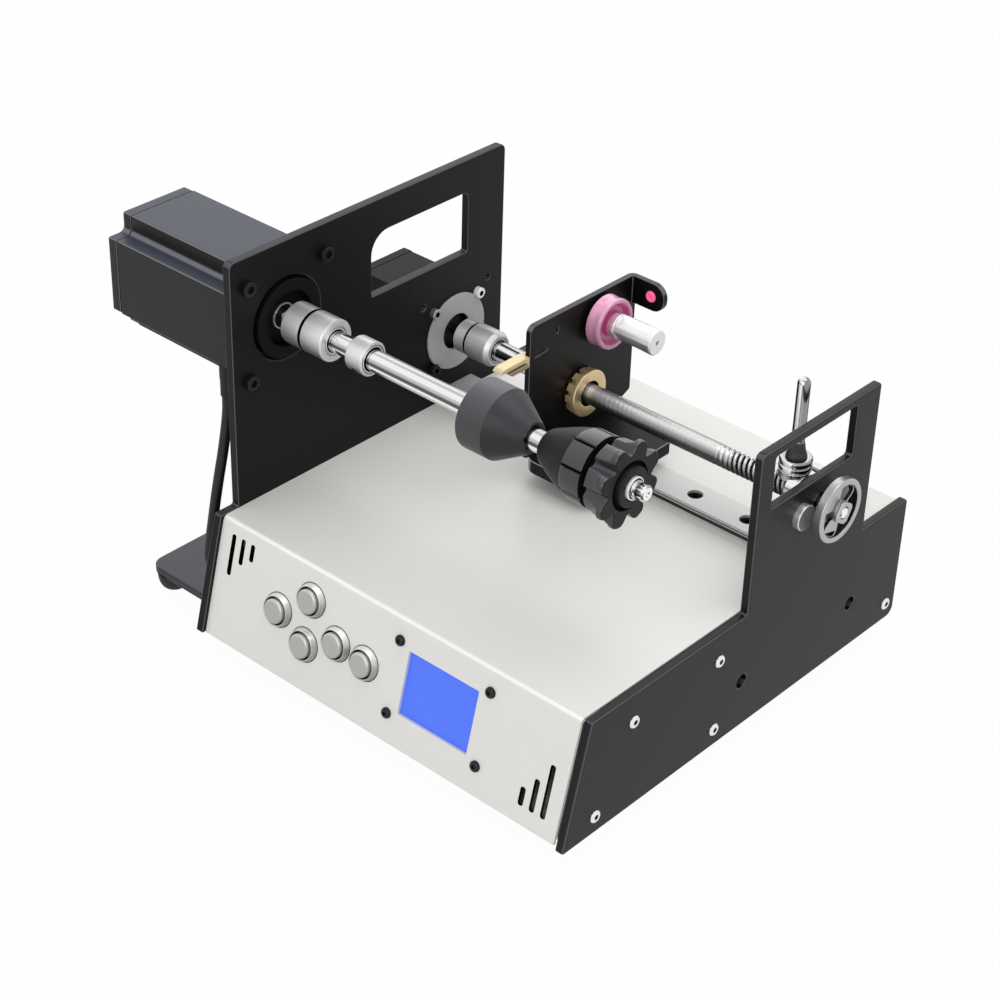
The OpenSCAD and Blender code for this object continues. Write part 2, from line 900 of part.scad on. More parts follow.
// A button-head screw with a hexagon socket, standing out along +X from its seat
module plate_screw() {
    difference() {
        union() {
            turned_x(0, 0, [
                [0, 0], [plate_screw_head_r, 0], [plate_screw_head_r, plate_screw_head_h * 0.4],
                [plate_screw_head_r * 0.8, plate_screw_head_h], [0, plate_screw_head_h]
            ]);
            rod_x(-plate_t - sheet_t, 0, 0, plate_screw_r, plate_t + sheet_t + plate_screw_head_h / 2);
        }
        translate([plate_screw_head_h * 0.4, 0, 0]) rotate([0, 90, 0])
            cylinder(r = plate_screw_socket_r, h = plate_screw_head_h, $fn = 6);
    }
}

module plate_screws() {
    low_places = [for (y = [low_screw_front, mid_screw_y, tray_d - low_screw_back_set]) [y, low_screw_z]];
    high_places = [for (y = [high_screw_front, mid_screw_y]) [y, tray_h - high_screw_drop]];
    color(silver) placed() for (p = concat(low_places, high_places)) {
        translate([plate_outer_x, p[0], p[1]]) plate_screw();
        translate([-plate_t, p[0], p[1]]) mirror([1, 0, 0]) plate_screw();
    }
}

// Power inlet: a recessed socket with three blades behind a flange with cut corners

module power_inlet() {
    color(black) placed() translate([inlet_x, tray_d, inlet_z]) {
        difference() {
            union() {
                translate([-inlet_w / 2, -inlet_deep, -inlet_h / 2]) cube([inlet_w, inlet_deep, inlet_h]);
                translate([0, inlet_flange_t, 0]) rotate([90, 0, 0]) linear_extrude(inlet_flange_t)
                    polygon(inlet_flange_points());
            }
            translate([0, inlet_flange_t + over, 0]) rotate([90, 0, 0])
                linear_extrude(inlet_mouth_deep + over) polygon([
                    [-inlet_mouth_w / 2, -inlet_mouth_h / 2],
                    [inlet_mouth_w / 2, -inlet_mouth_h / 2],
                    [inlet_mouth_w / 2, inlet_mouth_h / 2 - inlet_cut],
                    [inlet_mouth_w / 2 - inlet_cut, inlet_mouth_h / 2],
                    [inlet_cut - inlet_mouth_w / 2, inlet_mouth_h / 2],
                    [-inlet_mouth_w / 2, inlet_mouth_h / 2 - inlet_cut]
                ]);
            for (s = [-1, 1])
                translate([s * (inlet_flange_w + inlet_w) / 4, inlet_flange_t + over, 0]) rotate([90, 0, 0])
                    cylinder(r = inlet_screw_r, h = inlet_flange_t + 2 * over);
        }
        for (i = [-1:1])
            translate([i * inlet_pin_pitch - inlet_pin_w / 2,
                       inlet_flange_t - inlet_mouth_deep - inlet_pin_root,
                       (1 - abs(i)) * inlet_pin_h - inlet_pin_h])
                cube([inlet_pin_w, inlet_pin_l, inlet_pin_h]);
    }
}

function inlet_flange_points() = outline([
    [-inlet_flange_w / 2, 0, inlet_cut / 2],
    [-inlet_w / 2, -inlet_flange_h / 2, inlet_cut / 2],
    [inlet_w / 2, -inlet_flange_h / 2, inlet_cut / 2],
    [inlet_flange_w / 2, 0, inlet_cut / 2],
    [inlet_w / 2, inlet_flange_h / 2, inlet_cut / 2],
    [-inlet_w / 2, inlet_flange_h / 2, inlet_cut / 2]
]);

// Electronics

module power_supply() {
    color(silver) placed() translate([supply_x, supply_y, sheet_t]) difference() {
        cube([supply_w, supply_d, supply_h]);
        translate([over, -over, supply_terminal_h])
            cube([supply_w - 2 * over, supply_terminal_d + over, supply_h]);
        for (i = [1:4])
            for (j = [2:4])
                translate([supply_w * i / 5, supply_d * j / 5, supply_h - over])
                    cylinder(r = standoff_r, h = 2 * over);
    }
}

module control_board() {
    color("#1f5a3a") placed() translate([board_x, board_y, sheet_t + standoff_h]) {
        cube([board_w, board_d, board_t]);
        translate([(board_w - chip_w) / 2, (board_d - chip_w) / 2, board_t]) cube([chip_w, chip_w, chip_h]);
        for (i = [0:terminal_count - 1])
            translate([board_inset + i * terminal_pitch, board_d - terminal_d, board_t])
                cube([terminal_w, terminal_d, terminal_h]);
    }
}

// A driver block whose upper part is a row of cooling fins
module driver_block() {
    fin_pitch = (driver_w - driver_fin_t) / (driver_fins - 1);
    cube([driver_w, driver_d, driver_base_h]);
    for (i = [0:driver_fins - 1])
        translate([i * fin_pitch, 0, 0]) cube([driver_fin_t, driver_d, driver_h]);
}

module motor_drivers() {
    color(black) placed() for (i = [0, 1])
        translate([driver_x + i * (driver_w + driver_gap), driver_y, sheet_t]) driver_block();
}

// Display and its screws

module lcd_screw_places() {
    for (x = [lcd_x - lcd_screw_x_set, lcd_x + lcd_w + lcd_screw_x_set])
        for (t = [lcd_t - lcd_screw_t_set, lcd_t + lcd_h + lcd_screw_t_set])
            on_panel(x, t) children();
}

module lcd_display() {
    board_x0 = lcd_screw_x_set + lcd_board_edge;
    board_t0 = lcd_screw_t_set + lcd_board_edge;
    glass_z = -sheet_t - lcd_glass_t;
    root_z = glass_z - lcd_board_t / 2;
    color("#5d82f3") placed() difference() {
        union() {
            on_panel(lcd_x, lcd_t) {
                translate([-lcd_border, -lcd_border, root_z])
                    cube([lcd_w + 2 * lcd_border, lcd_h + 2 * lcd_border, -sheet_t - root_z]);
                translate([-board_x0, -board_t0, glass_z - lcd_board_t])
                    cube([lcd_w + 2 * board_x0, lcd_h + 2 * board_t0, lcd_board_t]);
                translate([lcd_border, lcd_border, glass_z - lcd_board_t - lcd_chip_t])
                    cube([lcd_w / 2, lcd_h / 2, lcd_chip_t + lcd_board_t / 2]);
            }
            lcd_screw_places() translate([0, 0, root_z]) cylinder(r = lcd_post_r, h = -sheet_t - root_z);
        }
        lcd_screw_places() translate([0, 0, glass_z - lcd_board_t - over])
            cylinder(r = lcd_screw_r + seat_fit, h = lcd_glass_t + lcd_board_t + 2 * over);
    }
}

module lcd_screws() {
    color(black) placed() lcd_screw_places() difference() {
        union() {
            rotate_extrude() polygon([
                [0, 0], [lcd_screw_head_r, 0], [lcd_screw_head_r * 0.94, lcd_screw_head_h * 0.55],
                [lcd_screw_head_r * 0.6, lcd_screw_head_h], [0, lcd_screw_head_h]
            ]);
            translate([0, 0, -lcd_screw_l]) cylinder(r = lcd_screw_r, h = lcd_screw_l + lcd_screw_head_h / 2);
        }
        translate([0, 0, lcd_screw_head_h / 2]) cylinder(r = lcd_screw_r * 0.7, h = over, $fn = 6);
    }
}

// Buttons: a flared bezel with its switch behind the panel, and a cap that travels in it

module button_bezel() {
    inner = cap_r + bezel_play;
    outer = inner + bezel_wall;
    rotate_extrude() polygon([
        [stem_r + stem_play, -bezel_deep + switch_t],
        [inner, -bezel_deep + switch_t],
        [inner, bezel_h],
        [inner + bezel_top_wall, bezel_h],
        [outer + bezel_flare, 0],
        [outer, 0],
        [outer, -bezel_deep],
        [0, -bezel_deep],
        [0, -bezel_deep + bezel_wall / 2],
        [stem_r + stem_play, -bezel_deep + bezel_wall / 2]
    ]);
}

module button_bezels() {
    color(steel) placed() for (p = button_places) on_panel(p[0], p[1]) button_bezel();
}

module button_cap(i) {
    top = bezel_h + cap_rise;
    color(steel) placed() on_panel(button_places[i][0], button_places[i][1]) rotate_extrude() polygon([
        [0, -cap_deep - stem_l],
        [stem_r, -cap_deep - stem_l],
        [stem_r, -cap_deep],
        [cap_r, -cap_deep],
        [cap_r, top - cap_round],
        [cap_r - cap_round / 3, top - cap_round / 3],
        [cap_r - cap_round, top],
        [0, top]
    ]);
}

module button_left() { button_cap(0); }
module button_up() { button_cap(1); }
module button_down() { button_cap(2); }
module button_right() { button_cap(3); }
module button_enter() { button_cap(4); }

// Spindle motor

// Square with a notch at each corner, as the stator's laminations are cut
function notched_square(w, notch) =
    let (h = w / 2, c = h - notch, e = motor_edge_r, f = motor_notch_r)
    outline([
        [c, h, e], [c, c, f], [h, c, e], [h, -c, e], [c, -c, f], [c, -h, e],
        [-c, -h, e], [-c, -c, f], [-h, -c, e], [-h, c, e], [-c, c, f], [-c, h, e]
    ]);

module spindle_motor() {
    face = -plate_t;
    half = spindle_motor_w / 2;
    color(motor_grey) placed() translate([0, spindle_y, spindle_z]) difference() {
        union() {
            plate_x(face - motor_flange_t, motor_flange_t)
                polygon(box_outline(-half, -half, half, half, motor_flange_r));
            plate_x(face - spindle_motor_l, spindle_motor_l - motor_flange_t / 2)
                polygon(notched_square(spindle_motor_w, motor_notch));
            rod_x(face - over, 0, 0, motor_pilot_r, over + motor_pilot_h);
        }
        rod_x(face + motor_pilot_h - motor_pilot_dish, 0, 0, motor_pilot_dish_r, over);
        rod_x(face - motor_shaft_in - over, 0, 0, motor_shaft_r + running_fit,
              motor_shaft_in + 2 * over);
        four_at(0, 0, motor_bolt_pitch)
            rod_x(face - motor_flange_t - over, 0, 0, motor_bolt_r + seat_fit, motor_flange_t + 2 * over);
    }
}

module spindle_motor_cap() {
    back = -plate_t - spindle_motor_l - motor_cap_l;
    color(black) placed() translate([0, spindle_y, spindle_z]) difference() {
        plate_x(back, motor_cap_l)
            polygon(notched_square(spindle_motor_w - motor_edge_r, motor_notch));
        rod_x(back - over, 0, 0, motor_cap_dish_r, over + motor_cap_dish);
    }
}

// A socket head screw along +X, its head's seat at the origin
module cap_screw(r, l, head_r, head_h, socket_r, socket) {
    difference() {
        union() {
            rod_x(0, 0, 0, head_r, head_h);
            rod_x(-l, 0, 0, r, l + head_h / 2);
        }
        translate([head_h - socket, 0, 0]) rotate([0, 90, 0])
            cylinder(r = socket_r, h = socket + over, $fn = 6);
    }
}

module spindle_motor_bolts() {
    color(black) placed() four_at(spindle_y, spindle_z, motor_bolt_pitch)
        cap_screw(motor_bolt_r, plate_t + motor_flange_t, motor_bolt_head_r, motor_bolt_head_h,
                  motor_bolt_socket_r, motor_bolt_socket);
}

// Spindle: motor shaft, coupling halves, shaft and collar

module spindle_motor_shaft() {
    color(silver) placed() rod_x(-plate_t - motor_shaft_in, spindle_y, spindle_z, motor_shaft_r,
                                 plate_t + motor_shaft_in + coupling_split_x - coupling_nose);
}

// A turned sleeve with chamfered ends, a bore and a row of clamp screw holes
module sleeve(x, y, z, l, r, bore_r) {
    c = coupling_chamfer;
    difference() {
        turned_x(y, z, [
            [bore_r, x], [r - c, x], [r, x + c], [r, x + l - c], [r - c, x + l], [bore_r, x + l]
        ]);
        translate([x + l / 2, y, z]) cylinder(r = coupling_screw_r, h = r + over);
    }
}

module spindle_coupling_a() {
    color(silver) placed() sleeve(coupling_gap, spindle_y, spindle_z, coupling_a_l, coupling_r,
                                  motor_shaft_r + seat_fit);
}

module coupling_spider() {
    color(black) placed() rod_x(coupling_split_x, spindle_y, spindle_z, spider_r, coupling_spider_t);
}

module spindle_coupling_b() {
    color(silver) placed() sleeve(coupling_b_x, spindle_y, spindle_z, coupling_b_l, coupling_r,
                                  shaft_r + seat_fit);
}

module spindle_shaft() {
    c = tip_chamfer;
    neck = nut_end + stud_neck_x;
    color(silver) placed() turned_x(spindle_y, spindle_z, [
        [0, coupling_b_x + coupling_nose], [shaft_r, coupling_b_x + coupling_nose],
        [shaft_r, stud_x - c], [stud_r, stud_x],
        [stud_r, neck], [stud_neck_r, neck], [stud_neck_r, neck + stud_neck_l],
        [stud_end_r, neck + stud_neck_l], [stud_end_r, spindle_end - c], [stud_end_r - c, spindle_end],
        [0, spindle_end]
    ]);
}

module shaft_collar() {
    x = coupling_end_x + collar_set;
    r = shaft_r + collar_wall;
    color(silver) placed() difference() {
        sleeve(x, spindle_y, spindle_z, collar_l, r, shaft_r + seat_fit);
        translate([x - over, spindle_y, spindle_z - collar_slit / 2])
            cube([collar_l + 2 * over, r + over, collar_slit]);
    }
}

// Cones and hand nut

module left_cone() {
    x = left_cone_x;
    color(charcoal) placed() turned_x(spindle_y, spindle_z, [
        [shaft_r + running_fit, x + cone_dish],
        [cone_dish_r, x + cone_dish],
        [cone_dish_r, x],
        [cone_r - cone_chamfer, x],
        [cone_r, x + cone_chamfer],
        [cone_r, x + cone_barrel_l],
        [cone_tip_r, left_cone_end],
        [shaft_r + running_fit, left_cone_end]
    ]);
}

// Cuts that leave a band as a ring of separate pads, along X from x
module pad_grooves(x, l, r, deep) {
    for (i = [0:lobe_count - 1])
        translate([0, spindle_y, spindle_z]) rotate([(i + 0.5) * 360 / lobe_count, 0, 0])
            translate([x, -pad_groove_w / 2, r - deep]) cube([l, pad_groove_w, deep + over]);
}

module right_cone() {
    steps = 2 * arc_steps;
    rise = (ogive_r - right_tip_r) / sin(ogive_arc);
    color(charcoal) placed() difference() {
        turned_x(spindle_y, spindle_z, concat(
            [[shaft_r + running_fit, right_cone_x]],
            [for (i = [0:steps])
                [right_tip_r + rise * sin(ogive_arc * i / steps),
                 right_cone_x + ogive_l * i / steps]],
            [[band_r, band_x], [band_r, band_x + band_l], [shaft_r + running_fit, band_x + band_l]]
        ));
        pad_grooves(band_x, band_l + over, band_r, pad_groove);
    }
}

// Outline of the star: a round body with a rounded lobe on each pad
module star() {
    circle(r = star_root_r);
    for (i = [0:lobe_count - 1])
        rotate(i * 360 / lobe_count) {
            translate([lobe_reach - lobe_r, 0]) circle(r = lobe_r);
            translate([0, -lobe_r]) square([lobe_reach - lobe_r, 2 * lobe_r]);
        }
}

module hand_nut() {
    bore = stud_r + insert_wall + seat_fit;
    insert_x = nut_end + insert_proud - insert_l;
    color(charcoal) placed() difference() {
        union() {
            rod_x(nut_x, spindle_y, spindle_z, neck_r, neck_l + over);
            intersection() {
                translate([0, spindle_y, spindle_z]) plate_x(grip_x, grip_l)
                    rotate(180 / lobe_count) star();
                turned_x(spindle_y, spindle_z, [
                    [0, grip_x], [grip_r, grip_x], [grip_r + band_r - ogive_r, grip_x + grip_l / 2],
                    [lobe_reach, nut_end - star_l], [lobe_reach, nut_end], [0, nut_end]
                ]);
            }
            rod_x(nut_end - over, spindle_y, spindle_z, nut_boss_r, nut_boss_l + over);
        }
        turned_x(spindle_y, spindle_z, [
            [nut_boss_r, nut_end + over], [nut_boss_r, nut_end - nut_dish],
            [nut_dish_r, nut_end - nut_dish], [nut_dish_r, nut_end + over]
        ]);
        rod_x(insert_x, spindle_y, spindle_z, bore, insert_l + over);
        rod_x(nut_x - over, spindle_y, spindle_z, stud_r + nut_bore_play / 4, insert_x - nut_x + 2 * over);
    }
}

module hand_nut_insert() {
    x = nut_end + insert_proud - insert_l;
    color(silver) placed() turned_x(spindle_y, spindle_z, [
        [stud_r + running_fit, x], [stud_r + insert_wall, x],
        [stud_r + insert_wall, x + insert_l], [stud_r + running_fit, x + insert_l]
    ]);
}

// Guide motor

function chamfered_square(w, c) =
    let (h = w / 2)
    [[h - c, h], [h, h - c], [h, c - h], [h - c, -h], [c - h, -h], [-h, c - h], [-h, h - c], [c - h, h]];

module guide_motor() {
    face = -plate_t;
    color(motor_grey) placed() translate([0, screw_y, screw_z]) difference() {
        union() {
            plate_x(face - guide_flange_t, guide_flange_t)
                polygon(chamfered_square(guide_motor_w, guide_chamfer));
            plate_x(face - guide_motor_l, guide_motor_l - guide_flange_t / 2)
                polygon(chamfered_square(guide_motor_w - 2 * guide_waist, guide_chamfer));
            rod_x(face - over, 0, 0, guide_pilot_r, over + guide_pilot_h);
        }
        rod_x(face - guide_shaft_in - over, 0, 0, guide_shaft_r + running_fit,
              guide_shaft_in + 2 * over + guide_pilot_h);
        four_at(0, 0, guide_bolt_pitch)
            rod_x(face - guide_bolt_l - over / 2, 0, 0, guide_bolt_r + seat_fit, guide_bolt_l + 2 * over);
    }
}

module guide_motor_cap() {
    back = -plate_t - guide_motor_l - guide_cap_l;
    color(black) placed() translate([0, screw_y, screw_z]) difference() {
        plate_x(back, guide_cap_l) polygon(chamfered_square(guide_motor_w, guide_chamfer));
        rod_x(back - over, 0, 0, guide_pilot_r, over + motor_cap_dish);
    }
}

module guide_motor_screws() {
    color(steel) placed() four_at(screw_y, screw_z, guide_bolt_pitch)
        cap_screw(guide_bolt_r, plate_t + guide_bolt_l, guide_bolt_head_r, guide_bolt_head_h,
                  guide_bolt_socket_r, guide_bolt_socket);
}

// Ring over the motor's opening, nicked round the heads of its screws
module guide_motor_disc() {
    color(steel) placed() difference() {
        turned_x(screw_y, screw_z, [[disc_hole_r, 0], [disc_r, 0], [disc_r, disc_t], [disc_hole_r, disc_t]]);
        four_at(screw_y, screw_z, guide_bolt_pitch)
            rod_x(-over, 0, 0, guide_bolt_head_r + hole_play, disc_t + 2 * over);
    }
}

// Lead screw with its coupling and hand wheel

module guide_motor_shaft() {
    color(silver) placed() rod_x(-plate_t - guide_shaft_in, screw_y, screw_z, guide_shaft_r,
                                 plate_t + guide_shaft_in + screw_coupling_split_x - coupling_nose);
}

module guide_coupling_a() {
    color(silver) placed() sleeve(screw_coupling_gap, screw_y, screw_z, screw_coupling_a_l,
                                  screw_coupling_a_r, guide_shaft_r + seat_fit);
}

module guide_coupling_b() {
    color(silver) placed() sleeve(screw_coupling_split_x, screw_y, screw_z, screw_coupling_b_l,
                                  screw_coupling_b_r, screw_r + seat_fit);
}

module lead_screw() {
    c = tip_chamfer;
    start = screw_coupling_split_x + coupling_nose;
    finish = wheel_nut_x + wheel_nut_l - c;
    color(silver) placed() turned_x(screw_y, screw_z, [
        [0, start], [screw_r, start], [screw_r, journal_x - c], [journal_r, journal_x],
        [journal_r, plate_outer_x + wheel_hub_gap], [thread_end_r, plate_outer_x + wheel_hub_gap],
        [thread_end_r, finish - c], [thread_end_r - c, finish], [0, finish]
    ]);
}

// Rim, thin web and hub, with the web open above and below a bar
module hand_wheel() {
    web_x = wheel_x + wheel_web_set;
    inner = wheel_r - wheel_rim;
    hub_x = plate_outer_x + wheel_hub_gap;
    color(silver) placed() difference() {
        turned_x(screw_y, screw_z, [
            [thread_end_r + seat_fit, hub_x],
            [wheel_hub_r, hub_x],
            [wheel_hub_r, web_x],
            [inner, web_x],
            [inner, wheel_x],
            [wheel_r - wheel_edge, wheel_x],
            [wheel_r, wheel_x + wheel_edge],
            [wheel_r, wheel_x + wheel_w - wheel_edge],
            [wheel_r - wheel_edge, wheel_x + wheel_w],
            [inner + wheel_edge, wheel_x + wheel_w],
            [inner, wheel_x + wheel_w - wheel_edge],
            [inner, web_x + wheel_web_t],
            [wheel_hub_r, web_x + wheel_web_t],
            [wheel_hub_r, wheel_nut_x],
            [thread_end_r + seat_fit, wheel_nut_x]
        ]);
        translate([0, screw_y, screw_z]) plate_x(web_x - over / 2, wheel_web_t + over) difference() {
            circle(r = inner - wheel_edge);
            circle(r = wheel_hub_r + wheel_edge);
            translate([-inner, -wheel_bar / 2]) square([2 * inner, wheel_bar]);
        }
    }
}

module wheel_nut() {
    color(silver) placed() difference() {
        translate([wheel_nut_x, screw_y, screw_z]) rotate([0, 90, 0])
            cylinder(r = wheel_nut_r, h = wheel_nut_l, $fn = 6);
        rod_x(wheel_nut_x - over, screw_y, screw_z, thread_end_r + seat_fit, wheel_nut_l + 2 * over);
    }
}

// End block: a flange bolted to the right plate, a head round the bearing and a lug for the post

module end_block() {
    flange_x = tray_w - block_flange_t;
    reach = block_bolt_set + block_flange_r;
    color(silver) placed() difference() {
        union() {
            translate([0, screw_y, screw_z]) plate_x(flange_x, block_flange_t) {
                polygon(box_outline(-reach, -block_flange_r, reach, block_flange_r, block_flange_r * 0.9));
                circle(r = block_flange_mid_r);
            }
            rod_x(block_x + block_head_l / 2, screw_y, screw_z, block_neck_r, block_stand - block_head_l / 2);
            rod_x(block_x, screw_y, screw_z, block_head_r, block_head_l);
            translate([post_x, post_y, post_z - block_lug_t]) cylinder(r = block_lug_r, h = block_lug_t);
        }
        rod_x(block_x - over, screw_y, screw_z, journal_r + block_bore_play, block_stand + 2 * over);
        rod_x(block_x - bearing_set, screw_y, screw_z, bearing_r + seat_fit, 2 * bearing_set + bearing_t);
        for (s = [-1, 1])
            rod_x(flange_x - over, screw_y + s * block_bolt_set, screw_z, block_bolt_r + seat_fit,
                  block_flange_t + 2 * over);
        translate([post_x, post_y, post_z - block_thread_deep])
            cylinder(r = post_r + seat_fit, h = block_thread_deep + over);
    }
}

module end_bearing() {
    x = block_x + bearing_set;
    color(steel) placed() turned_x(screw_y, screw_z, [
        [journal_r + running_fit, x], [journal_r + bearing_ring, x],
        [journal_r + bearing_ring, x + bearing_dish], [bearing_r - bearing_ring, x + bearing_dish],
        [bearing_r - bearing_ring, x], [bearing_r, x],
        [bearing_r, x + bearing_t], [journal_r + running_fit, x + bearing_t]
    ]);
}

module end_block_bolts() {
    tail = plate_t + block_flange_t + block_bolt_tail;
    h = block_bolt_head_h;
    r = block_bolt_head_r;
    color(silver) placed() for (s = [-1, 1]) translate([plate_outer_x, screw_y + s * block_bolt_set, screw_z]) {
        turned_x(0, 0, concat(
            [[0, 0], [r, 0], [r, h - block_bolt_crown]],
            [for (i = [1:arc_steps])
                [r * cos(90 * i / arc_steps), h - block_bolt_crown + block_bolt_crown * sin(90 * i / arc_steps)]]
        ));
        rod_x(-tail, 0, 0, block_bolt_r, tail + h / 2);
    }
}

module guide_post() {
    foot_z = post_z + post_nut_h;
    top = post_z + post_h;
    color(silver) placed() translate([post_x, post_y, 0]) rotate_extrude() polygon(concat(
        [[0, post_z - post_stud_l], [post_r, post_z - post_stud_l], [post_r, foot_z], [post_flare_r, foot_z],
         [post_flare_r * 0.75, foot_z + post_flare_h * 0.4], [post_r, foot_z + post_flare_h]],
        [for (i = [0:arc_steps]) [post_r * cos(90 * i / arc_steps), top - post_r + post_r * sin(90 * i / arc_steps)]]
    ));
}

// Ring nut with a groove round its middle
module post_nut() {
    mid = post_z + post_nut_h / 2;
    g = post_nut_groove_h / 2;
    color(silver) placed() translate([post_x, post_y, 0]) rotate_extrude() polygon([
        [post_r + seat_fit, post_z], [post_nut_r, post_z], [post_nut_r, mid - g],
        [post_nut_r - post_nut_groove, mid - g / 2], [post_nut_r - post_nut_groove, mid + g / 2],
        [post_nut_r, mid + g], [post_nut_r, post_z + post_nut_h], [post_r + seat_fit, post_z + post_nut_h]
    ]);
}

// Rail

module rail_holes(r, z, h) {
    for (i = [0:rail_count - 1]) translate([rail_first + i * rail_pitch, rail_y, z]) cylinder(r = r, h = h);
}

module guide_rail() {
    w = rail_w / 2;
    g = rail_groove;
    mid = tray_h + rail_h / 2;
    color("#b6b6b4") placed() difference() {
        translate([0, rail_y, 0]) plate_x(0, tray_w) polygon([
            [-w, tray_h], [w, tray_h],
            [w, mid - rail_groove_h / 2], [w - g, mid - rail_groove_h / 4],
            [w - g, mid + rail_groove_h / 4], [w, mid + rail_groove_h / 2],
            [w, rail_top], [-w, rail_top],
            [-w, mid + rail_groove_h / 2], [g - w, mid + rail_groove_h / 4],
            [g - w, mid - rail_groove_h / 4], [-w, mid - rail_groove_h / 2]
        ]);
        rail_holes(rail_hole_r, tray_h - over, rail_h + 2 * over);
        rail_holes(rail_head_r, rail_top - rail_head_deep, rail_head_deep + over);
    }
}

module rail_screws() {
    seat = rail_top - rail_head_deep;
    tail = tray_h - sheet_t - rail_screw_tail;
    color(black) placed() difference() {
        union() {
            rail_holes(rail_screw_head_r, seat, rail_screw_head_h);
            rail_holes(rail_screw_r, tail, seat - tail + rail_screw_head_h / 2);
        }
        for (i = [0:rail_count - 1])
            translate([rail_first + i * rail_pitch, rail_y, seat + rail_screw_head_h / 2])
                cylinder(r = rail_screw_r * 0.9, h = rail_screw_head_h, $fn = 6);
    }
}

// Carriage: slab on the rail, guide plate with its arm, nut, finger and eyelet

module carriage_base() {
    front = screw_y - slab_front_set;
    back = screw_y + slab_back_set;
    skirt_z = slab_z - rail_h + skirt_drop;
    color(charcoal) placed() {
        translate([0, 0, slab_z]) linear_extrude(slab_t) polygon(outline([
            [carriage_x, front, slab_corner_r],
            [carriage_x + slab_w, front, slab_corner_r],
            [carriage_x + slab_w, back, slab_rear_r],
            [carriage_x, back, slab_rear_r]
        ]));
        for (y = [rail_y - rail_w / 2 - body_gap - skirt_w, rail_y + rail_w / 2 + body_gap])
            translate([carriage_x + skirt_inset, y, skirt_z])
                cube([slab_w - 2 * skirt_inset, skirt_w, slab_z - skirt_z + slab_t / 2]);
    }
}

module guide_plate() {
    slot_z = guide_top - guide_slot_drop;
    key_z = guide_top - guide_key_drop;
    color(charcoal) placed() difference() {
        plate_x(carriage_x, guide_plate_t) polygon(outline([
            [guide_front, slab_top, 0],
            [screw_y + slab_back_set, slab_top, 0],
            [guide_back, slab_top + slab_t, slab_rear_r],
            [guide_back, guide_top, 0],
            [guide_front, guide_top, guide_corner_r]
        ]));
        rod_x(carriage_x - over, screw_y, screw_z, nut_shank_r + seat_fit, guide_plate_t + 2 * over);
        rod_x(carriage_x - over, pulley_y, pulley_z, pulley_bore_r + seat_fit, guide_plate_t + 2 * over);
        plate_x(carriage_x - over, guide_plate_t + 2 * over) {
            polygon(box_outline(guide_front + guide_slot_set, slot_z - guide_slot_h / 2,
                                guide_front + guide_slot_set + guide_slot_l, slot_z + guide_slot_h / 2,
                                guide_slot_h * 0.4));
            polygon(box_outline(guide_front + guide_key_set, key_z - guide_key_h / 2,
                                guide_front + guide_key_set + guide_key_w, key_z + guide_key_h / 2,
                                guide_key_w * 0.4));
        }
    }
}

// Arm that stands square on the guide plate's back edge and carries the eyelet
module guide_arm() {
    color(charcoal) placed() difference() {
        translate([guide_face_x, guide_back, guide_top - arm_h]) rotate([90, 0, 0])
            linear_extrude(arm_t) polygon(outline([
                [0, 0, 0], [arm_l, 0, arm_h * 0.48], [arm_l, arm_h, arm_h * 0.48], [0, arm_h, 0]
            ]));
        translate([guide_face_x + eyelet_set, guide_back + over, guide_top - eyelet_drop]) rotate([90, 0, 0])
            cylinder(r = eyelet_r + seat_fit, h = arm_t + 2 * over);
    }
}

module wire_eyelet() {
    lip = eyelet_r + eyelet_lip;
    color(pink) placed() translate([guide_face_x + eyelet_set, guide_back, guide_top - eyelet_drop])
        rotate([90, 0, 0]) rotate_extrude() polygon([
            [eyelet_bore_r * 1.5, -eyelet_lip_t], [lip, -eyelet_lip_t], [lip, 0], [eyelet_r, 0],
            [eyelet_r, arm_t], [lip, arm_t], [lip, arm_t + eyelet_lip_t],
            [eyelet_bore_r * 1.5, arm_t + eyelet_lip_t], [eyelet_bore_r, arm_t],
            [eyelet_bore_r, 0]
        ]);
}

// Flanged nut whose body is slotted like a castle between flange and plate
module lead_nut() {
    x = carriage_x - nut_shank_l;
    seat = guide_face_x;
    bore = screw_r + running_fit;
    color(brass) placed() difference() {
        turned_x(screw_y, screw_z, [
            [bore, x], [nut_shank_r, x], [nut_shank_r, seat], [nut_castle_r, seat],
            [nut_castle_r, seat + nut_castle_l], [nut_flange_r, seat + nut_castle_l],
            [nut_flange_r, seat + nut_castle_l + nut_flange_t], [bore, seat + nut_castle_l + nut_flange_t]
        ]);
        for (i = [0:nut_slots - 1])
            translate([0, screw_y, screw_z]) rotate([(i + 0.5) * 360 / nut_slots, 0, 0])
                translate([seat + nut_castle_l * 0.3, -nut_slot_w / 2, nut_shank_r])
                    cube([nut_castle_l * 0.7, nut_slot_w, nut_castle_r]);
    }
}

// Folded strip: the wire runs in the slot between its two leaves
module wire_finger() {
    top = guide_top - finger_drop;
    mid = top - finger_leaf_t;
    low = mid - finger_slot;
    bottom = low - finger_leaf_t;
    tip = finger_tip_r;
    color(brass) placed() {
        plate_x(guide_face_x - finger_w, finger_w) polygon(outline([
            [guide_front, bottom, 0],
            [guide_front, top, 0],
            [guide_front - finger_l, top, tip],
            [guide_front - finger_l, mid, tip],
            [guide_front - finger_slot - finger_leaf_t / 2, mid, finger_slot / 3],
            [guide_front - finger_slot - finger_leaf_t / 2, low, finger_slot / 3],
            [guide_front - finger_lower_l, low, tip],
            [guide_front - finger_lower_l, bottom, tip]
        ]));
        translate([carriage_x - finger_tab_t, guide_front - finger_tab_t, bottom])
            cube([finger_tab_t, finger_tab_l, top - bottom]);
    }
}

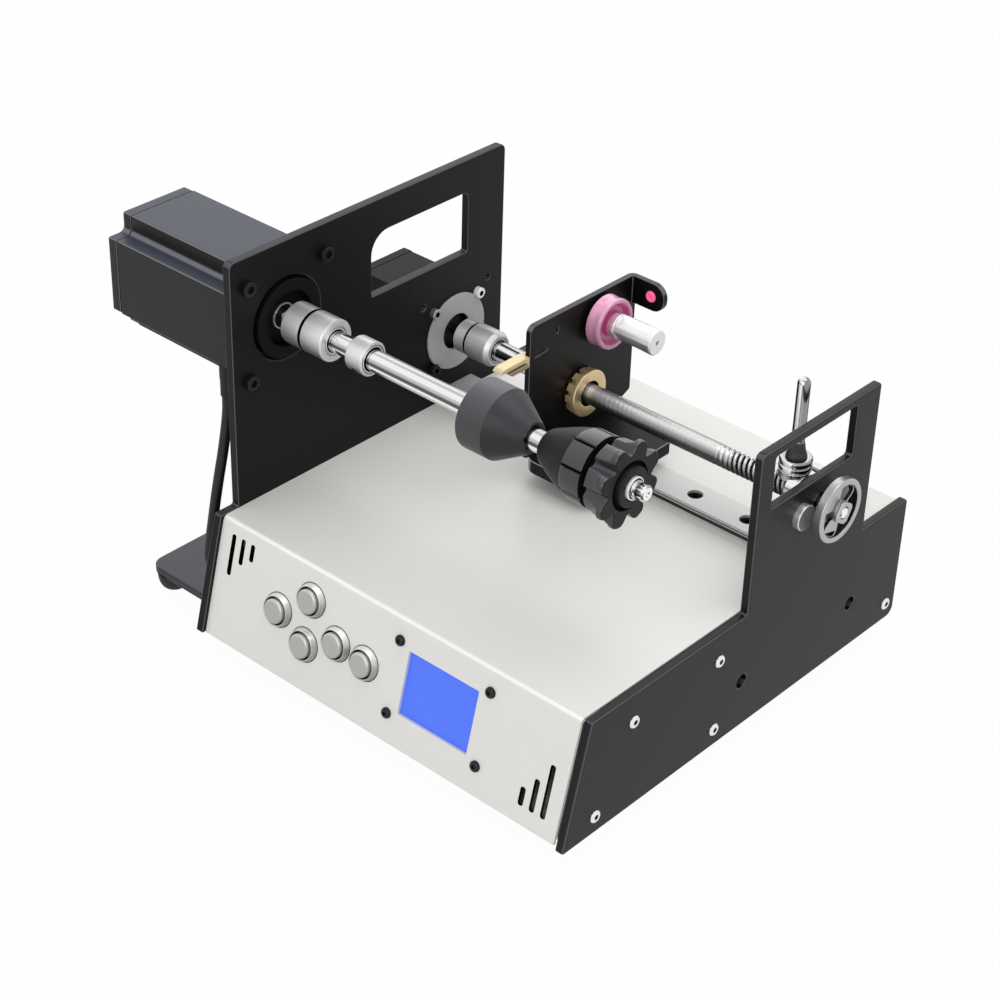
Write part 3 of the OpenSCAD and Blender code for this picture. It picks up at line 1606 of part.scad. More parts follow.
module pulley_axle() {
    h = axle_handle_l;
    x = axle_handle_x;
    r = axle_handle_r;
    c = coupling_chamfer;
    color(silver) placed() difference() {
        union() {
            turned_x(pulley_y, pulley_z, [
                [0, carriage_x - axle_nut_l], [pulley_bore_r, carriage_x - axle_nut_l],
                [pulley_bore_r, guide_face_x], [axle_collar_r, guide_face_x],
                [axle_collar_r, guide_face_x + axle_collar_l], [pulley_bore_r, guide_face_x + axle_collar_l],
                [pulley_bore_r, x], [r - c, x], [r, x + c], [r, x + h - c], [r - c, x + h], [0, x + h]
            ]);
            translate([carriage_x - axle_nut_l, pulley_y, pulley_z]) rotate([0, 90, 0])
                cylinder(r = axle_nut_r, h = axle_nut_l, $fn = 6);
        }
        rod_x(x + h - axle_hole_deep, pulley_y, pulley_z, axle_hole_r, axle_hole_deep + over);
        translate([x + h * 0.2, pulley_y - r, pulley_z + r - axle_flat]) cube([h * 0.45, 2 * r, 2 * axle_flat]);
    }
}

module guide_pulley() {
    x = pulley_x;
    w = pulley_w;
    g = (pulley_w - pulley_groove_w) / 2;
    r = pulley_r;
    bore = pulley_bore_r + running_fit;
    color(pink) placed() turned_x(pulley_y, pulley_z, [
        [bore, x], [r - pulley_lip, x], [r, x + pulley_lip], [r, x + g],
        [r - pulley_groove, x + w / 2 - g / 3], [r - pulley_groove, x + w / 2 + g / 3],
        [r, x + w - g], [r, x + w - pulley_lip], [r - pulley_lip, x + w],
        [pulley_dish_r, x + w], [pulley_dish_r - pulley_lip, x + w - pulley_dish],
        [axle_collar_r, x + w - pulley_dish], [axle_collar_r, x + w], [bore, x + w]
    ]);
}

// Motor cable: one tube swept through its route, with its gland and grommet

// Point on a smooth curve through the route, between point i and the next
function route_point(i, s) =
    let (
        n = len(cable_route),
        a = cable_route[max(i - 1, 0)],
        b = cable_route[i],
        c = cable_route[min(i + 1, n - 1)],
        d = cable_route[min(i + 2, n - 1)]
    )
    (2 * b + (c - a) * s + (2 * a - 5 * b + 4 * c - d) * s * s + (3 * b - a - 3 * c + d) * s * s * s) / 2;

function route_curve(steps) = concat(
    [for (i = [0:len(cable_route) - 2]) each [for (k = [0:steps - 1]) route_point(i, k / steps)]],
    [cable_route[len(cable_route) - 1]]
);

// One ring of the tube, square to the direction given
function ring(at, along) =
    let (a = unit(cross(along, [0, 1, 0])), b = unit(cross(along, a)))
    [for (k = [0:cable_sides - 1])
        at + cable_d / 2 * (a * cos(360 * k / cable_sides) + b * sin(360 * k / cable_sides))];

module motor_cable() {
    path = route_curve(2);
    n = len(path);
    s = cable_sides;
    along = concat([[0, 0, -1]], [for (i = [1:n - 2]) path[i + 1] - path[i - 1]], [[1, 0, 0]]);
    sides = [for (i = [0:n - 2]) each [for (k = [0:s - 1])
        [i * s + k, i * s + (k + 1) % s, (i + 1) * s + (k + 1) % s, (i + 1) * s + k]]];
    color(black) placed() polyhedron(
        points = [for (i = [0:n - 1]) each ring(path[i], along[i])],
        faces = concat([[for (k = [s - 1:-1:0]) k]], sides, [[for (k = [0:s - 1]) (n - 1) * s + k]])
    );
}

// Gland in the motor's notch, with a boot that tapers to the cable
module cable_gland() {
    exit_z = cable_route[0][2];
    color(black) placed() translate([gland_x, gland_y, 0]) rotate_extrude() polygon([
        [0, exit_z], [cable_d / 2 + seat_fit, exit_z], [gland_r * 0.94, exit_z + boot_l],
        [gland_r, exit_z + boot_l], [gland_r, gland_top], [0, gland_top]
    ]);
}

module cable_grommet() {
    lip_x = cable_route[len(cable_route) - 1][0];
    lip_r = grommet_r + grommet_lip;
    color(black) placed() turned_x(grommet_y, grommet_z, [
        [0, lip_x], [grommet_r - grommet_lip / 2, lip_x], [lip_r, lip_x / 2 - plate_t / 2],
        [lip_r, -plate_t], [grommet_r - seat_fit, -plate_t], [grommet_r - seat_fit, 0], [0, 0]
    ]);
}

base_plate();
rubber_feet();
chassis_pan();
housing_cover();
left_side_plate();
right_side_plate();
plate_screws();
power_inlet();
power_supply();
control_board();
motor_drivers();
lcd_display();
lcd_screws();
button_bezels();
button_left();
button_up();
button_down();
button_right();
button_enter();
spindle_motor();
spindle_motor_cap();
spindle_motor_bolts();
spindle_motor_shaft();
spindle_coupling_a();
coupling_spider();
spindle_coupling_b();
spindle_shaft();
shaft_collar();
left_cone();
right_cone();
hand_nut();
hand_nut_insert();
guide_motor();
guide_motor_cap();
guide_motor_screws();
guide_motor_disc();
guide_motor_shaft();
guide_coupling_a();
guide_coupling_b();
lead_screw();
hand_wheel();
wheel_nut();
end_block();
end_bearing();
end_block_bolts();
guide_post();
post_nut();
guide_rail();
rail_screws();
guide_plate();
guide_arm();
carriage_base();
lead_nut();
wire_finger();
wire_eyelet();
pulley_axle();
guide_pulley();
motor_cable();
cable_gland();
cable_grommet();
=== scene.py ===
import bpy
import bmesh
import math
from mathutils import Matrix, Vector


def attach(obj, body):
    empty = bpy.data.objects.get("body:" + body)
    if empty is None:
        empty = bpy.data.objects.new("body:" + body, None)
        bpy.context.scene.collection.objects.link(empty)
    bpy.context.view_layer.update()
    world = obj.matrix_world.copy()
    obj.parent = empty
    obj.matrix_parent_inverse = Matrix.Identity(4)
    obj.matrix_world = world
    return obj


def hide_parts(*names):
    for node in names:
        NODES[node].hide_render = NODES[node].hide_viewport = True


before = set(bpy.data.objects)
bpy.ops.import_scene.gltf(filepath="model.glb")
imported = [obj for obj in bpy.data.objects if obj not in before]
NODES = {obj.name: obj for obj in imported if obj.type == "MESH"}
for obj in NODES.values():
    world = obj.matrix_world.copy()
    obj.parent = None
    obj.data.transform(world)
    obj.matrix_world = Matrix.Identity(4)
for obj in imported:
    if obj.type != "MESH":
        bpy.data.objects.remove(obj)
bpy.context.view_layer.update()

# Lengths below are millimetres in the machine's own axes: x from the left plate's inner face,
# y from the panel's foot, z from the housing's underside. SHIFT moves them into the part's frame.
MM = 0.001
SHIFT = Vector((-71.8, -121, 12))
COL = bpy.context.scene.collection

XDIR, YDIR, ZDIR = Vector((1, 0, 0)), Vector((0, 1, 0)), Vector((0, 0, 1))
TRAY_W, TRAY_D, TRAY_H = 214.5, 242, 58
# The panel leans back by LEAN over the tray's height
LEAN = 14.6
TILT = math.atan2(LEAN, TRAY_H)
SA, CA = math.sin(TILT), math.cos(TILT)
UPSLOPE = Vector((0, SA, CA))
OUTWARD = Vector((0, -CA, SA))
# Thickness of the folded sheet and of the side plates
SHEET, PLATE = 1.5, 4.5
# Centres (y, z) of the spindle, the lead screw and the pulley, and (x, y, 0) of the upright post
SPIN, SCREW, PULLEY = (57, 144), (167.5, 94), (179.6, 127.2)
UPRIGHT = (202.5, 169.3, 0)
# Width of each motor, and half the pitch of its screws
MOTOR_W, MOTOR_HOLES = 57, 23.57
SMALL_W, SMALL_HOLES = 42.3, 15.5


def row(p):
    return (Vector(p) + SHIFT) * MM


def on_panel(x, t, out=0):
    return Vector((x, 0, 0)) + UPSLOPE * t + OUTWARD * out


def linear(r, g, b):
    def one(c):
        c /= 255
        return c / 12.92 if c <= 0.04045 else ((c + 0.055) / 1.055) ** 2.4
    return (one(r), one(g), one(b), 1)


# Camera, fitted to corners of the plates, the motor and the panel

def camera():
    az, el, roll = math.radians(41.246), math.radians(33.095), math.radians(1.732)
    back = Vector((math.sin(az) * math.cos(el), -math.cos(az) * math.cos(el), math.sin(el)))
    right = (-back).cross(ZDIR).normalized()
    up = right.cross(-back)
    cam = bpy.data.cameras.new("camera")
    cam.sensor_width = 36
    cam.sensor_fit = "HORIZONTAL"
    cam.lens = 85.403
    cam.clip_start = 0.01
    cam.clip_end = 50
    o = bpy.data.objects.new("camera", cam)
    COL.objects.link(o)
    m = Matrix((right * math.cos(roll) + up * math.sin(roll), up * math.cos(roll) - right * math.sin(roll),
        back)).transposed().to_4x4()
    m.translation = row((687.05, -578.91, 656.95))
    o.matrix_world = m
    bpy.context.scene.camera = o


camera()


# Materials

# Adds a shader node and gives one of its outputs; an input takes a constant, or the output that feeds it
def node(nt, kind, inputs, out=0, **settings):
    n = nt.nodes.new("ShaderNode" + kind)
    for key, value in settings.items():
        setattr(n, key, value)
    for key, value in inputs.items():
        if isinstance(value, bpy.types.NodeSocket):
            nt.links.new(value, n.inputs[key])
        else:
            n.inputs[key].default_value = value
    return n.outputs[out]


def nodes_of(name):
    m = bpy.data.materials.new(name)
    m.use_nodes = True
    return m, m.node_tree, m.node_tree.nodes["Principled BSDF"]


def noise(nt, scale, detail, stretch=None):
    at_point = node(nt, "TexCoord", {}, "Object")
    if stretch:
        at_point = node(nt, "Mapping", {"Scale": stretch, "Vector": at_point}, "Vector")
    return node(nt, "TexNoise", {"Scale": scale, "Detail": detail, "Roughness": 0.6, "Vector": at_point}, "Fac")


def ramp(nt, value, lo, hi, a, b):
    return node(nt, "MapRange", {"Value": value, "From Min": lo, "From Max": hi, "To Min": a, "To Max": b}, "Result")


def mix(nt, share, a, b, **settings):
    return node(nt, "Mix", {"Factor": share, "A": a, "B": b}, "Result", data_type="RGBA", **settings)


def scaled(c, k):
    return (min(1, c[0] * k), min(1, c[1] * k), min(1, c[2] * k), 1)


def normal_of(nt):
    return node(nt, "NewGeometry", {}, "Normal")


# How far a face turns to a direction, from -1 to 1
def turned_to(nt, direction):
    return node(nt, "VectorMath", {0: normal_of(nt), 1: direction}, "Value", operation="DOT_PRODUCT")


# The largest of some values
def largest(nt, values):
    last = values[0]
    for value in values[1:]:
        last = node(nt, "Math", {0: last, 1: value}, operation="MAXIMUM")
    return last


# Painted reflections and shade: light and dark streaks as polished metal shows them, grey values set against how far
# a face turns to a direction
def painted_streaks(nt, colour, direction, stops):
    grey = node(nt, "ValToRGB", {"Fac": ramp(nt, turned_to(nt, direction), -1, 1, 0, 1)}, "Color")
    marks = grey.node.color_ramp.elements
    while len(marks) < len(stops):
        marks.new(0.5)
    for mark, (turn, value) in zip(marks, stops):
        mark.position = (turn + 1) / 2
        mark.color = (value, value, value, 1)
    return mix(nt, 1, colour, grey, blend_type="MULTIPLY")


# Painted highlight: lighter colour on rounded edges of a box-like piece
def painted_bevel_highlight(nt, colour, edge):
    size = node(nt, "VectorMath", {0: normal_of(nt)}, "Vector", operation="ABSOLUTE")
    parts = node(nt, "SeparateXYZ", {"Vector": size}).node.outputs
    flat = largest(nt, [parts["X"], parts["Y"], parts["Z"]])
    return mix(nt, ramp(nt, flat, 0.96, 0.86, 0, 1), colour, linear(*edge))


# Painted light and shade: another colour where a face turns to one direction, from lo (none) to hi (all of it)
def painted_by_facing(nt, colour, direction, lo, hi, painted_colour):
    return mix(nt, ramp(nt, turned_to(nt, direction), lo, hi, 0, 1), colour, linear(*painted_colour))


# One material: colour that varies by a share, roughness that varies, and a fine surface relief.
# Options, all of them painted light and shade: a painted top colour where a face looks up, a painted highlight on
# bevels, a painted colour by the way a face turns, and painted streaks of reflection and shade
def finish(name, colour, rough, vary, grain, relief, metal=0, spec=0.5, coat=0, depth=0.00004,
           rough_vary=0.06, stretch=None, painted_top=None, painted_glint=None, painted_highlight=None, painted_streak=None):
    m, nt, b = nodes_of(name)
    b.inputs["Metallic"].default_value = metal
    b.inputs["Specular IOR Level"].default_value = spec
    if coat:
        b.inputs["Coat Weight"].default_value = coat
        b.inputs["Coat Roughness"].default_value = 0.1
    colour = linear(*colour)
    patches = ramp(nt, noise(nt, 22, 4), 0.3, 0.7, 0, 1)
    fine = noise(nt, grain, 3, stretch)
    c = mix(nt, patches, scaled(colour, 1 - vary), scaled(colour, 1 + vary))
    if painted_top:
        c = painted_by_facing(nt, c, UP, 0.6, 0.95, painted_top)
    if painted_glint:
        c = painted_bevel_highlight(nt, c, painted_glint)
    if painted_highlight:
        c = painted_by_facing(nt, c, *painted_highlight)
    if painted_streak:
        c = painted_streaks(nt, c, *painted_streak)
    nt.links.new(c, b.inputs["Base Color"])
    nt.links.new(ramp(nt, fine, 0.25, 0.75, max(0.02, rough - rough_vary), rough + rough_vary), b.inputs["Roughness"])
    bump = {"Strength": relief, "Distance": depth, "Height": fine}
    nt.links.new(node(nt, "Bump", bump, "Normal"), b.inputs["Normal"])
    return m


# Makes a material shine a little by itself: the display's backlight, and painted light on the eyelet
def glow(key, colour, strength):
    b = M[key].node_tree.nodes["Principled BSDF"]
    b.inputs["Emission Color"].default_value = linear(*colour)
    b.inputs["Emission Strength"].default_value = strength


# Directions: across a rod that lies along X, across one that stands upright, and up
ACROSS = (0, 0.655, 0.756)
AROUND = (0.752, 0.659, 0)
UP = (0, 0, 1)

# Painted reflections and shade, as streaks: (how far a face turns to the direction, grey value)
# ROD and POST, and the table after them, paint reflections on polished steel and on turned aluminium; SHADE, SCREWS,
# BELOW and SOFT paint lighter tops and darker undersides; CAPS and FLARE paint highlights on the buttons and bezels
ROD = [(-1, 0.3), (-0.94, 1), (-0.70, 1), (-0.62, 0.14), (-0.42, 0.10), (-0.32, 0.50), (-0.12, 0.66), (0, 1),
    (0.32, 1), (0.5, 0.55), (0.8, 0.36), (1, 0.12)]
POST = [(-1, 0.03), (-0.84, 0.04), (-0.74, 0.75), (-0.45, 1), (-0.3, 0.55), (0.05, 0.32), (0.5, 0.30),
    (0.78, 0.42), (0.92, 0.08), (1, 0.05)]
PAINTED_SHEEN = [(-1, 0.2), (-0.8, 0.42), (-0.45, 0.82), (-0.2, 1), (0.1, 0.98), (0.38, 0.6), (0.62, 0.5), (0.8, 0.86),
    (1, 0.35)]
SHADE = [(-1, 0.22), (-0.6, 0.38), (-0.1, 0.62), (0.4, 0.9), (0.75, 1), (1, 0.8)]
SCREWS = [(-1, 0.03), (-0.55, 0.06), (-0.35, 0.28), (0, 0.62), (0.3, 0.95), (0.55, 0.75), (0.85, 0.3), (1, 0.12)]
CAPS = [(-1, 0.5), (-0.3, 0.6), (0.1, 0.7), (0.35, 0.7), (0.6, 0.95), (1, 1)]
FLARE = [(-1, 0.35), (-0.3, 0.45), (0.15, 0.5), (0.45, 0.72), (0.75, 1), (1, 1)]
BELOW = [(-1, 0.3), (-0.35, 0.42), (-0.1, 0.62), (-0.02, 0.95), (1, 1)]
SOFT = [(-1, 0.5), (-0.3, 0.66), (0.2, 0.84), (0.75, 1), (1, 0.96)]

# Name, colour, roughness, share the colour varies by, fineness of the grain, strength of the relief
M = {
    # The sheet's fold carries a painted highlight
    "sheet": finish("housing_paint", (226, 225, 221), 0.42, 0.008, 1400, 0.1, rough_vary=0.05,
        painted_highlight=((0, -0.58, 0.815), 0.94, 0.985, (250, 249, 246))),
    # Painted highlights on the plates' bevels and painted light on their tops; the left plate's paint is a darker,
    # shaded copy of the right plate's
    "plate": finish("plate_paint", (14, 15, 17), 0.42, 0.05, 1800, 0.12, spec=0.22, rough_vary=0.05,
        painted_glint=(80, 80, 84)),
    "shaded_left_plate": finish("left_plate_shaded_paint", (12, 12, 12), 0.46, 0.05, 1800, 0.1, rough_vary=0.05, spec=0.16,
        painted_glint=(84, 84, 88), painted_top=(50, 50, 54)),
    "guide": finish("guide_plate_paint", (10, 10, 11), 0.42, 0.05, 1800, 0.1, rough_vary=0.05, spec=0.16,
        painted_glint=(104, 104, 106), painted_top=(70, 70, 72)),
    # Painted light and shade on the tops of the base, the carriage slab and the motors: lighter on the base and the
    # spindle motor, darker on the slab and the guide motor; painted highlights on the bevels of the slab and the
    # spindle motor
    "base": finish("base_paint", (26, 27, 30), 0.42, 0.04, 1500, 0.14, painted_top=(58, 61, 70), spec=0.35),
    "slab": finish("slab_paint", (22, 22, 23), 0.5, 0.04, 1500, 0.14, spec=0.14, painted_glint=(170, 170, 172),
        painted_top=(16, 16, 18)),
    "motor": finish("motor_paint", (26, 26, 27), 0.42, 0.05, 1500, 0.16, spec=0.2, painted_glint=(120, 121, 126),
        painted_top=(64, 67, 78)),
    "stack": finish("motor_stack", (26, 26, 27), 0.4, 0.05, 60, 0.3, depth=0.00006, stretch=(60, 1, 1), spec=0.2,
        painted_glint=(120, 121, 126), painted_top=(62, 65, 76)),
    "small": finish("small_motor_paint", (30, 30, 32), 0.55, 0.05, 1500, 0.16, spec=0.12, painted_top=(26, 26, 29)),
    "cap": finish("motor_cap", (22, 22, 23), 0.42, 0.05, 1500, 0.16, spec=0.3),
    "pilot": finish("pilot_black", (7, 7, 8), 0.5, 0.05, 1500, 0.1, spec=0.12),
    "rubber": finish("black_rubber", (30, 30, 31), 0.62, 0.08, 700, 0.3, spec=0.3),
    "cable": finish("cable_sheath", (20, 20, 21), 0.46, 0.05, 500, 0.2, spec=0.35),
    # The cones' and the grip's streaks are painted shade: lighter on top, darker below
    "barrel": finish("cone_barrel", (86, 87, 91), 0.44, 0.05, 1200, 0.2, spec=0.4, painted_streak=(ACROSS, SHADE)),
    "cone": finish("cone_plastic", (54, 54, 59), 0.44, 0.05, 1200, 0.2, spec=0.3, painted_streak=(ACROSS, SHADE)),
    "ogive": finish("clamp_plastic", (26, 26, 29), 0.46, 0.05, 1200, 0.08, spec=0.22, painted_streak=(ACROSS, SHADE)),
    "pad": finish("grip_plastic", (74, 74, 78), 0.26, 0.05, 900, 0.02, spec=0.5, painted_streak=(ACROSS, SHADE)),
    "star": finish("star_plastic", (15, 15, 16), 0.5, 0.05, 900, 0.05, spec=0.25),
    # The streaks on the polished steel, the post, the turned aluminium, the lead screw, the buttons and their bezels
    # are painted reflections, highlights and shade
    "chrome": finish("polished_steel", (240, 240, 242), 0.16, 0.02, 40, 0.02, metal=1, rough_vary=0.03,
        stretch=(60, 1, 1), painted_streak=(ACROSS, ROD)),
    "post": finish("post_steel", (240, 240, 242), 0.18, 0.02, 40, 0.02, metal=1, rough_vary=0.03,
        stretch=(1, 1, 60), painted_streak=(AROUND, POST)),
    "turned": finish("turned_aluminium", (228, 229, 231), 0.42, 0.015, 24, 0.05, metal=0.55, depth=0.00002,
        rough_vary=0.04, stretch=(90, 1, 1), painted_streak=(ACROSS, PAINTED_SHEEN)),
    "satin": finish("satin_aluminium", (176, 176, 178), 0.33, 0.02, 700, 0.05, metal=0.9, rough_vary=0.05),
    "disc": finish("ring_metal", (182, 182, 183), 0.45, 0.03, 500, 0.1, metal=0.1),
    "head": finish("bolt_face", (118, 118, 118), 0.45, 0.05, 300, 0.15, metal=0.3),
    "foot": finish("post_foot", (58, 58, 60), 0.35, 0.04, 300, 0.1, metal=0.6),
    "screw": finish("screw_thread", (236, 236, 236), 0.26, 0.05, 200, 0.015, metal=0.5, painted_streak=(ACROSS, SCREWS)),
    "button": finish("button_metal", (204, 203, 199), 0.42, 0.02, 900, 0.06, metal=0.4, rough_vary=0.05,
        painted_streak=(UP, CAPS)),
    "bezel": finish("bezel_metal", (236, 235, 231), 0.4, 0.015, 900, 0.03, metal=0.5, rough_vary=0.04,
        painted_streak=(UP, FLARE)),
    "blackscrew": finish("black_screw", (17, 17, 18), 0.4, 0.05, 900, 0.12, metal=0.2, spec=0.35),
    "brightscrew": finish("bright_screw", (236, 236, 236), 0.28, 0.02, 500, 0.02, metal=0.8),
    "whitescrew": finish("zinc_screw", (246, 246, 246), 0.4, 0.02, 500, 0.02, metal=0.3),
    "brass": finish("nut_brass", (232, 206, 160), 0.34, 0.03, 500, 0.06, metal=0.75),
    "cream": finish("finger_brass", (226, 206, 166), 0.4, 0.02, 500, 0.05, metal=0.3),
    # The lower leaf of the wire finger: its darker colour is painted shade
    "tan": finish("finger_shade", (168, 146, 120), 0.4, 0.02, 500, 0.05, metal=0.4),
    # Painted shade and highlight: the pulley's streaks make it lighter on top, the axle's make its underside darker
    "pink": finish("pink_plastic", (230, 162, 194), 0.28, 0.03, 500, 0.06, coat=0.4, painted_streak=(UP, SOFT)),
    "magenta": finish("pink_recess", (196, 78, 140), 0.32, 0.05, 500, 0.08, coat=0.3),
    "eyelet": finish("pink_eyelet", (255, 104, 150), 0.28, 0.03, 500, 0.05, coat=0.3),
    "axle": finish("axle_aluminium", (238, 238, 239), 0.36, 0.02, 500, 0.08, metal=0.6, painted_streak=(UP, BELOW)),
    # Painted shade in gaps, bores, grooves, sockets and holes, and also the dark seam of the spindle motor's cap
    "dark": finish("shade_and_seam_dark", (6, 6, 6), 0.8, 0.1, 500, 0.03, spec=0.05),
    "rail": finish("rail_steel", (190, 190, 188), 0.4, 0.03, 400, 0.08, metal=0.2, stretch=(1, 20, 20)),
    "board": finish("board_green", (30, 92, 56), 0.35, 0.08, 300, 0.2),
    "supply": finish("supply_metal", (190, 190, 190), 0.35, 0.04, 400, 0.1, metal=0.9),
    "inlet": finish("inlet_plastic", (28, 28, 29), 0.4, 0.06, 900, 0.2),
    "glass": finish("display_cover", (72, 104, 216), 0.3, 0.015, 300, 0.02, spec=0.3),
}
glow("glass", (70, 108, 236), 0.37)
# Painted light: the eyelet is no lamp, its glow only makes it brighter
glow("eyelet", (255, 104, 150), 0.36)


# Mesh helpers. A part is (vertices, faces, tag or tags); a tag is a face's place in the piece's materials

def join(parts):
    verts, faces, tags = [], [], []
    for v, f, tag in parts:
        n = len(verts)
        verts += [Vector(p) for p in v]
        faces += [tuple(i + n for i in q) for q in f]
        tags += tag if isinstance(tag, list) else [tag] * len(f)
    return verts, faces, tags


# Makes a piece from parts, puts it on a body and lets it replace CAD nodes
def build(name, mats, parts, replaces="", body="frame", angle=35, weighted=False):
    verts, faces, tags = join(parts)
    me = bpy.data.meshes.new(name)
    me.from_pydata([tuple(row(v)) for v in verts], [], faces)
    bm = bmesh.new()
    bm.from_mesh(me)
    for f, tag in zip(bm.faces, tags):
        f.material_index = tag
    bmesh.ops.remove_doubles(bm, verts=bm.verts, dist=2e-6)
    bmesh.ops.dissolve_degenerate(bm, dist=1e-7, edges=bm.edges)
    bmesh.ops.recalc_face_normals(bm, faces=bm.faces)
    for f in bm.faces:
        f.smooth = True
    for e in bm.edges:
        e.smooth = len(e.link_faces) == 2 and e.calc_face_angle(0) < math.radians(angle)
    bm.to_mesh(me)
    bm.free()
    for m in mats.split():
        me.materials.append(M[m])
    o = bpy.data.objects.new(name, me)
    COL.objects.link(o)
    if weighted:
        w = o.modifiers.new("normals", "WEIGHTED_NORMAL")
        w.keep_sharp = True
        w.weight = 80
    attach(o, body)
    replaces = replaces.split()
    if replaces:
        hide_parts(*replaces)


# Tags the faces of a part by a test of their corners
def tagged(part, test):
    verts, faces, _ = part
    return verts, faces, [test([verts[i] for i in f]) for f in faces]


# Rounds the corners of a line of (along, radius, fillet), or of a closed outline
def rounded(profile, steps=5, closed=False):
    pts = [Vector((p[0], p[1])) for p in profile]
    n = len(pts)
    out = []
    for i, p in enumerate(pts):
        f = profile[i][2] if len(profile[i]) > 2 else 0
        if not f or (not closed and i in (0, n - 1)):
            out.append(p.copy())
            continue
        u, v = (pts[i - 1] - p).normalized(), (pts[(i + 1) % n] - p).normalized()
        half = math.acos(max(-1, min(1, u.dot(v)))) / 2
        if half > math.pi / 2 - 0.02:
            out.append(p.copy())
            continue
        cut = f / math.tan(half)
        c = p + (u + v).normalized() * f / math.sin(half)
        s, e = p + u * cut - c, p + v * cut - c
        a0 = math.atan2(s.y, s.x)
        turn = math.atan2(s.x * e.y - s.y * e.x, s.dot(e))
        for k in range(steps + 1):
            t = a0 + turn * k / steps
            out.append(c + Vector((math.cos(t), math.sin(t))) * f)
    return out


def basis(axis):
    axis = Vector(axis).normalized()
    ref = YDIR if abs(axis.dot(YDIR)) < 0.9 else ZDIR
    u = (ref - axis * ref.dot(axis)).normalized()
    return axis, u, axis.cross(u)


# Turns a profile round an axis; one that starts off the axis is closed, unless said otherwise.
# shape(radius, angle, along) may change the radius, and tag may be a function of (along, radius,
# angle) at the middle of a face
def turned(profile, origin, axis, segs=96, closed=None, shape=None, angles=None, steps=5, tag=0):
    closed = profile[0][1] > 0 if closed is None else closed
    pts = rounded(profile, steps, closed)
    ax, u, w = basis(axis)
    o = Vector(origin)
    angles = angles or [2 * math.pi * k / segs for k in range(segs)]
    n = len(angles)
    verts, rings = [], []
    for p in pts:
        ring = angles if p.y >= 1e-6 else [0]
        rings.append(range(len(verts), len(verts) + len(ring)))
        for t in ring:
            r = shape(p.y, t, p.x) if shape else p.y
            verts.append(o + ax * p.x + (u * math.cos(t) + w * math.sin(t)) * r)
    faces, tags = [], []
    for i in range(len(pts) if closed else len(pts) - 1):
        p, q = pts[i], pts[(i + 1) % len(pts)]
        a, b = rings[i], rings[(i + 1) % len(pts)]
        for k in range(n if len(a) + len(b) > 2 else 0):
            j = (k + 1) % n
            if len(a) == 1:
                faces.append((a[0], b[j], b[k]))
            elif len(b) == 1:
                faces.append((a[k], a[j], b[0]))
            else:
                faces.append((a[k], a[j], b[j], b[k]))
            mid = (p.x + q.x) / 2, (p.y + q.y) / 2, (angles[k] + angles[j]) / 2
            tags.append(tag(*mid) if callable(tag) else tag)
    return verts, faces, tags


# Turned part round an axis along X through a centre (y, z)
def around(centre, profile, segs=96, **more):
    return turned(profile, (0, *centre), XDIR, segs, **more)


# Outline with rounded corners given as (across, up, radius)
def outline(corners, steps=8):
    return rounded(corners, steps, closed=True)


def box_outline(x0, y0, x1, y1, r=0):
    return outline([(x0, y0, r), (x1, y0, r), (x1, y1, r), (x0, y1, r)])


def circle(cx, cy, r, n=64):
    return [Vector((cx + r * math.cos(2 * math.pi * k / n), cy + r * math.sin(2 * math.pi * k / n)))
        for k in range(n)]


def spun(loop, angle):
    c, s = math.cos(angle), math.sin(angle)
    return [Vector((p[0] * c - p[1] * s, p[0] * s + p[1] * c)) for p in loop]


def at(loop, y, z):
    return [Vector((p[0] + y, p[1] + z)) for p in loop]


# Four places at the corners of a square
def corners_of(half):
    return [(y, z) for y in (-half, half) for z in (-half, half)]


# Flat part with holes and rounded edges: loops lie in the plane of u and v, thickness along u x v
def slab(loops, origin, u, v, thick, edge=0, tag=0):
    cu = bpy.data.curves.new("tmp", "CURVE")
    cu.dimensions = "2D"
    cu.fill_mode = "BOTH"
    cu.extrude = max(thick / 2 - edge, 1e-4)
    cu.bevel_depth = edge
    cu.bevel_resolution = 3
    cu.offset = -edge
    for loop in loops:
        sp = cu.splines.new("POLY")
        sp.points.add(len(loop) - 1)
        for q, p in zip(sp.points, loop):
            q.co = (p[0], p[1], 0, 1)
        sp.use_cyclic_u = True
    ob = bpy.data.objects.new("tmp", cu)
    COL.objects.link(ob)
    dg = bpy.context.evaluated_depsgraph_get()
    me = bpy.data.meshes.new_from_object(ob.evaluated_get(dg))
    n = u.cross(v)
    o = Vector(origin) + n * (thick / 2)
    verts = [o + u * p.co.x + v * p.co.y + n * p.co.z for p in me.vertices]
    faces = [tuple(p.vertices) for p in me.polygons]
    bpy.data.objects.remove(ob)
    bpy.data.curves.remove(cu)
    bpy.data.meshes.remove(me)
    return verts, faces, tag


# Slab that stands across X, from x on, with loops (y, z) round a centre
def wall(centre, loops, x, thick, edge=0, tag=0):
    return slab([at(loop, *centre) for loop in loops], (x, 0, 0), YDIR, ZDIR, thick, edge, tag)


